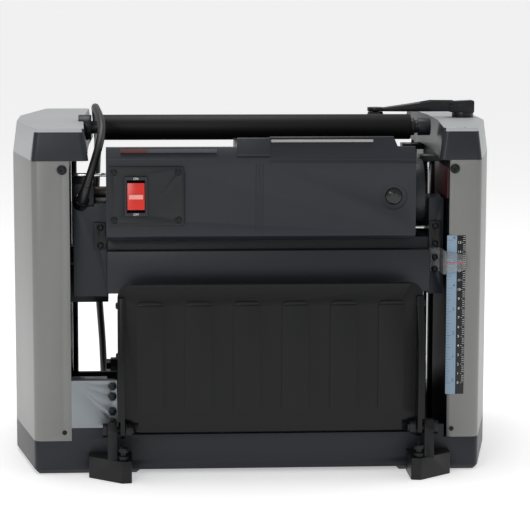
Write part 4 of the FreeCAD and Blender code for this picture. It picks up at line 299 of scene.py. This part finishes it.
# Top roller. A black rubber-coated tube on a steel rod, between two moulded brackets, that carries a
# board back over the machine.
roller_rubber = skin("matt_black_roller_coat", "#0B0B0D", "#131315", 0.5, 1.3, 0.06, IOR=1.33)
eased("top_roller", 0.8, roller_rubber)
eased("roller_brackets", 0.7, fascia_black)
eased("roller_axle", 0.4, black_oxide)

# Guide posts. Hard chromed steel rods, turned and polished, so they mirror what stands beside them.
chrome = skin("hard_chrome", "#C4C7C9", "#D2D4D6", 0.14, 3.0, 0.003, 0.04, Metallic=1.0)
eased("guide_posts", 0.5, chrome)

# Lead screws, their bushes and the chain. The screws have a rolled trapezoid thread of 1.6 mm pitch,
# drawn here twice as coarse so that it shows, with painted shade in its roots and a painted highlight on its
# crests. The bushes are sintered bronze.
thread, thread_shader = bare("rolled_thread_steel_painted_shade", Metallic=1.0, Roughness=0.3)
spot = put(thread, "TexCoord", {}).outputs["Object"]
bands = put(thread, "TexWave", {"Vector": spot, "Scale": 1 / (3.2 * MM) / 3.18, "Distortion": 0.0},
            bands_direction="Z")
# Painted shade and painted highlight: the same steel is dark in the thread's roots and light on its crests.
tone = put(thread, "Mix", {"Factor": bands.outputs["Fac"], 6: plain("#3C3D40"), 7: plain("#A4A6A8")},
           data_type="RGBA")
join(thread, tone.outputs[2], thread_shader.inputs["Base Color"])
relief = put(thread, "Bump", {"Height": bands.outputs["Fac"], "Distance": 0.6 * MM, "Strength": 1.0})
join(thread, relief.outputs["Normal"], thread_shader.inputs["Normal"])
for side in ("left", "right"):
    eased(f"lead_screw_{side}", 0.4, thread)
bronze = skin("sintered_bronze", "#8A6A3C", "#9C7B4A", 0.42, 0.8, 0.03, Metallic=0.9)
eased("screw_bushes", 0.4, bronze)
eased("slide_bushes", 0.3, bronze)
eased("lift_chain", 0.3, black_oxide)

# Folding crank. A forked arm of pressed steel, painted black, pinned to a cast hub on the right lead
# screw, with a turned phenolic knob that hangs under it when the crank is folded away.
crank_paint = skin("semi_gloss_black_paint", "#111215", "#1A1B1F", 0.3, 1.3, 0.03, IOR=1.42)
eased("crank_hub", 0.7, crank_paint)
eased("crank_arm", 1.0, crank_paint)
phenolic = skin("polished_phenolic", "#111113", "#19191B", 0.2, 2.0, 0.01, 0.04)
eased("crank_knob", 0.8, phenolic, segments=3)

# Table brackets. Small castings screwed to the base, in the same satin black as the frames.
eased("table_brackets", 1.0, black_paint)

# Folding tables. Pressed sheet steel with rolled edges and six embossed ribs, powder coated in a
# smooth semi-gloss black, on two folded arms each.
powder = skin("smooth_black_powder_coat", "#08090A", "#0E0F11", 0.32, 2.4, 0.05, 0.05, IOR=1.33)
for way in ("infeed", "outfeed"):
    eased(f"{way}_table", 0.9, powder, segments=3)
    eased(f"{way}_table_arms", 0.5, powder)

# Head castings. Aluminium blocks, casting and crossbars, in a dark blue-grey enamel over a cast skin.
head_enamel = skin("blue_grey_enamel_on_casting", "#1B1E24", "#23272F", 0.4, 1.7, 0.08, IOR=1.4)
for node in ("side_block_left", "side_block_right", "head_casting", "crossbars"):
    eased(node, 1.0, head_enamel)
eased("block_plates", 0.5, black_paint)
eased("head_screws", 0.3, black_oxide)
eased("tie_rods", 0.4, chrome)
eased("belt_cover", 1.2, fascia_black)

# Depth pointer and scales. The pointer is bent clear acrylic with a red hair line. The scales are
# printed film on the cover: inches on light blue, and centimetres on black.
acrylic = skin("clear_acrylic", "#F2F6F7", "#EEF3F5", 0.06, 4.0, 0.002, 0.02, Transmission_Weight=0.92,
               IOR=1.49)
eased("depth_pointer", 0.35, acrylic)
pointer_line = box("pointer_hair_line", (196.5, -163.5, 222.8), (218.8, -163.4, 223.4))
red_ink = skin("red_printing_ink", "#C8322C", "#D23C35", 0.45, 0.8, 0.004, 0.04)
added(pointer_line, "head", red_ink)

film = skin("light_scale_film", "#7E96AB", "#889FB3", 0.35, 2.5, 0.005, 0.03)
dark_film = skin("black_scale_film", "#101214", "#17191B", 0.35, 2.5, 0.005, 0.03, IOR=1.4)
white_ink = skin("white_printing_ink", "#D9DBDC", "#E6E7E8", 0.5, 0.8, 0.004, 0.04)
blue_ink = skin("dark_blue_printing_ink", "#2E4257", "#38506A", 0.5, 0.8, 0.004, 0.04)
INCH_LEFT, STRIPS_MEET, METRIC_RIGHT, SCALE_ZERO, SCALE_FACE = 199, 209.5, 218.5, 94.1, -160.62
scales = eased("height_scales", 0.15, film)
recolour(scales, dark_film, lambda face: face.center.x > STRIPS_MEET * MM)


def tick_row(name, low_x, high_x, first, pitch, count):
    """A column of equal printed marks, from a first height upwards, all in millimetres."""
    tick = box(name, (low_x, SCALE_FACE - 0.02, first - 0.18), (high_x, SCALE_FACE, first + 0.18))
    array = tick.modifiers.new("marks", "ARRAY")
    array.count, array.use_relative_offset, array.use_constant_offset = count, False, True
    array.constant_offset_displace = (0, 0, pitch * MM)
    bpy.ops.object.modifier_apply(modifier=array.name)
    return tick


INCH = 25.4
inch_print = [tick_row("eighths", INCH_LEFT + 0.3, INCH_LEFT + 2.8, SCALE_ZERO, INCH / 8, 49),
              tick_row("halves", INCH_LEFT + 0.3, INCH_LEFT + 4.2, SCALE_ZERO, INCH / 2, 13),
              tick_row("inches", INCH_LEFT + 0.3, INCH_LEFT + 5.6, SCALE_ZERO, INCH, 7)]
inch_print += [words(f"inch_{number}", str(number), INCH_LEFT + 7.6, SCALE_ZERO + number * INCH + 1.2,
                     SCALE_FACE - 0.02, 3.4) for number in range(7)]
added(joined("inch_marks", inch_print), "frame", blue_ink)
metric_print = [tick_row("millimetres", METRIC_RIGHT - 2.6, METRIC_RIGHT - 0.3, SCALE_ZERO, 2, 79),
                tick_row("fives", METRIC_RIGHT - 3.8, METRIC_RIGHT - 0.3, SCALE_ZERO, 10, 16)]
metric_print += [words(f"centimetre_{number}", str(number), STRIPS_MEET + 2.6, SCALE_ZERO + number * 10 - 1.2,
                       SCALE_FACE - 0.02, 2.6) for number in range(16)]
added(joined("centimetre_marks", metric_print), "frame", white_ink)

# Motor housing. A long blue-black glass-filled nylon moulding with a raised hood, lightly textured,
# with its round right end, the brush caps, and the rotor and stator inside.
nylon = skin("blue_black_glass_filled_nylon", "#191C23", "#21252D", 0.38, 1.2, 0.08, IOR=1.42)
eased("motor_housing", 1.6, nylon, segments=3)
for rib_x in (-2.0, 1.4, 5.2):
    seam = ease(box("housing_seam", (rib_x - 0.7, -160.35, 256), (rib_x + 0.7, -159.6, 327)), 0.3)
    added(seam, "head", nylon)
label_grey = skin("grey_blank_label", "#4A4C52", "#57595F", 0.45, 1.0, 0.01, 0.05)
label_silver = skin("silver_blank_label", "#A6A4A1", "#B8B6B3", 0.35, 1.0, 0.01, 0.05, Metallic=0.3)
added(box("chamfer_label", (-115, -155.85, 334.6), (-43, -155.75, 344.2), 38), "head",
      label_grey)
label_red = skin("dull_red_blank_label", "#5E3534", "#6B403E", 0.45, 1.0, 0.01, 0.05)
added(box("chamfer_label_end", (-143, -155.85, 334.6), (-115, -155.75, 344.2), 38), "head",
      label_red)
added(box("hood_label", (14, -150.4, 347.2), (121, -150.3, 352.4), 28.5), "head",
      label_silver)
eased("motor_end_bell", 0.8, fascia_black)
brush_cap = skin("gloss_black_brush_cap", "#070708", "#0E0E10", 0.1, 2.0, 0.01, 0.04)
eased("brush_caps", 0.5, brush_cap, segments=3)
iron = skin("varnished_lamination_iron", "#4A4440", "#5A534D", 0.45, 1.0, 0.03, Metallic=0.7)
for node in ("motor_stator", "motor_rotor"):
    eased(node, 0.4, iron)
eased("head_bearings", 0.3, chrome)

# Switch. A textured plate with a black frame and a red rocking paddle in polished nylon, and the
# words for on and off printed in white.
plate_black = skin("black_moulded_plate", "#15171B", "#1C1F24", 0.4, 1.2, 0.05, IOR=1.4)
eased("switch_plate", 0.6, plate_black)
eased("switch_bezel", 0.5, fascia_black)
red_nylon = skin("polished_red_nylon", "#CF2419", "#DB3326", 0.25, 1.5, 0.01, 0.05)
eased("switch_paddle", 0.7, red_nylon, segments=3)
SWITCH_X, BEZEL_FACE = -127, -165.24
switch_words = [words("word_above", "ON", SWITCH_X, 312.0, BEZEL_FACE, 2.3),
                words("word_below", "OFF", SWITCH_X, 274.7, BEZEL_FACE, 2.3)]
added(joined("switch_words", switch_words), "head", white_ink)
# The safety key's ridge is a real raised rib on the paddle; its pale red colour is a painted highlight on the
# red nylon.
ridge_painted_highlight = skin("red_nylon_painted_highlight", "#E58C82", "#EFA79F", 0.3, 1.0, 0.02, 0.05)
ridge = ease(box("paddle_ridge", (SWITCH_X - 7.4, -167.2, 291.8), (SWITCH_X + 7.4, -165.0, 296.6)), 0.6)
added(ridge, "switch_paddle", ridge_painted_highlight)

# Knife cylinder, feed rollers and belt. The cylinder is machined aluminium with two ground knives, and
# the rollers are moulded rubber.
machined = skin("machined_cutter_aluminium", "#A3A5A8", "#B4B6B8", 0.3, 0.9, 0.02, Metallic=1.0)
eased("cutterhead", 0.4, machined)
eased("knives", 0.2, chrome)
feed_rubber = skin("moulded_feed_rubber", "#1B1B1C", "#262627", 0.6, 1.2, 0.06)
for node in ("infeed_roller", "outfeed_roller", "drive_belt"):
    eased(node, 0.5, feed_rubber)

# Chip hood. A black ABS moulding behind the motor that leads the chips to its round port.
eased("chip_hood", 1.5, fascia_black, segments=3)

# Mains cord. It comes out of the head's left block through a rubber boot, rises to the top roller and
# passes over it, drops behind the machine and ends in a coil and a moulded plug. Its jacket is
# extruded rubber: black and matt.
CORD_ACROSS = 8.5 * MM
LEAD = [(-184, -136, 287), (-181.5, -144, 294), (-178, -148, 305), (-173, -146, 320), (-167.5, -140, 337),
        (-163, -127, 353), (-162.5, -107, 366), (-166, -84, 374.5)]
MAINS = [(-169.5, -58, 379), (-170.5, -34, 379), (-170.5, -10, 372), (-170.3, 24, 360), (-170, 60, 348),
         (-170, 98, 336), (-170.5, 134, 322), (-172, 162, 298), (-174, 183, 260), (-175, 200, 214),
         (-174, 210, 166), (-171, 215, 120), (-168, 218, 76), (-167, 223, 42), (-166, 233, 19),
         (-162, 249, 4.6)]
COIL_X, COIL_Y, COIL_OUT, COIL_IN = -92, 290, 57.9, 38.4
COIL_LOW, COIL_HIGH, COIL_TURNS, COIL_STEPS = 4.5, 13.2, 4.546, 73
PLUG_X, PLUG_Y, PLUG_Z = -40, 249, 13.2
route = LEAD + MAINS
for step in range(COIL_STEPS + 1):
    part = step / COIL_STEPS
    turn = math.radians(196.7 - 360 * COIL_TURNS * part)
    out = COIL_IN + (COIL_OUT - COIL_IN) * abs(1 - 2 * part)
    rise = min(max((part - 0.48) / 0.05, 0), 1)
    route.append((COIL_X + 1.012 * out * math.cos(turn), COIL_Y + 1.012 * out * math.sin(turn),
                  COIL_LOW + (COIL_HIGH - COIL_LOW) * rise))
route += [(PLUG_X + 4.5, PLUG_Y + 20, PLUG_Z), (PLUG_X, PLUG_Y, PLUG_Z)]

line = bpy.data.curves.new("cord_route", "CURVE")
line.dimensions = "3D"
spline = line.splines.new("NURBS")
spline.points.add(len(route) - 1)
for target, point in zip(spline.points, route):
    target.co = (point[0] * MM, point[1] * MM, point[2] * MM, 1)
spline.order_u = 3
spline.use_endpoint_u = True
line.resolution_u = 8
line_holder = bpy.data.objects.new("cord_route", line)
scene.collection.objects.link(line_holder)
run = [Vector(point.co) for point in bpy.data.meshes.new_from_object(line_holder).vertices]
bpy.data.objects.remove(line_holder)


def tube(name, points, radii, material, around=20):
    """A closed round tube along points, with its radius at each of them."""
    rings, faces = [], []
    across = (points[1] - points[0]).orthogonal().normalized()
    for index, point in enumerate(points):
        ahead = (points[min(index + 1, len(points) - 1)] - points[max(index - 1, 0)]).normalized()
        across = (across - ahead * across.dot(ahead)).normalized()
        upward = ahead.cross(across)
        for step in range(around):
            turn = 2 * math.pi * step / around
            rings.append(point + (across * math.cos(turn) + upward * math.sin(turn)) * radii[index])
    for index in range(len(points) - 1):
        near, far = index * around, (index + 1) * around
        for step in range(around):
            beside = (step + 1) % around
            faces.append((near + step, near + beside, far + beside, far + step))
    faces += [tuple(reversed(range(around))), tuple(range(len(rings) - around, len(rings)))]
    mesh = bpy.data.meshes.new(name)
    mesh.from_pydata(rings, [], faces)
    mesh.shade_smooth()
    mesh.materials.append(material)
    piece = bpy.data.objects.new(name, mesh)
    scene.collection.objects.link(piece)
    return piece


jacket = skin("extruded_rubber_jacket", "#101011", "#1C1C1E", 0.4, 1.4, 0.03, 0.06)
cord = tube("mains_lead", run, [CORD_ACROSS / 2] * len(run), jacket)
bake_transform(cord)
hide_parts("cord_lead", "mains_cord", "cord_coil")
plug = eased("mains_plug", 0.8, jacket, segments=3)
eased("cord_grommet", 0.8, brush_cap, segments=3)
BOOT_POINTS, BOOT_WIDE, BOOT_SLIM = 12, 6.2, 4.45
boot_run = run[:BOOT_POINTS]
boot = tube("strain_relief_boot", boot_run,
            [(BOOT_WIDE + (BOOT_SLIM - BOOT_WIDE) * step / (BOOT_POINTS - 1)) * MM
             for step in range(BOOT_POINTS)], jacket)
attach(boot, "head")
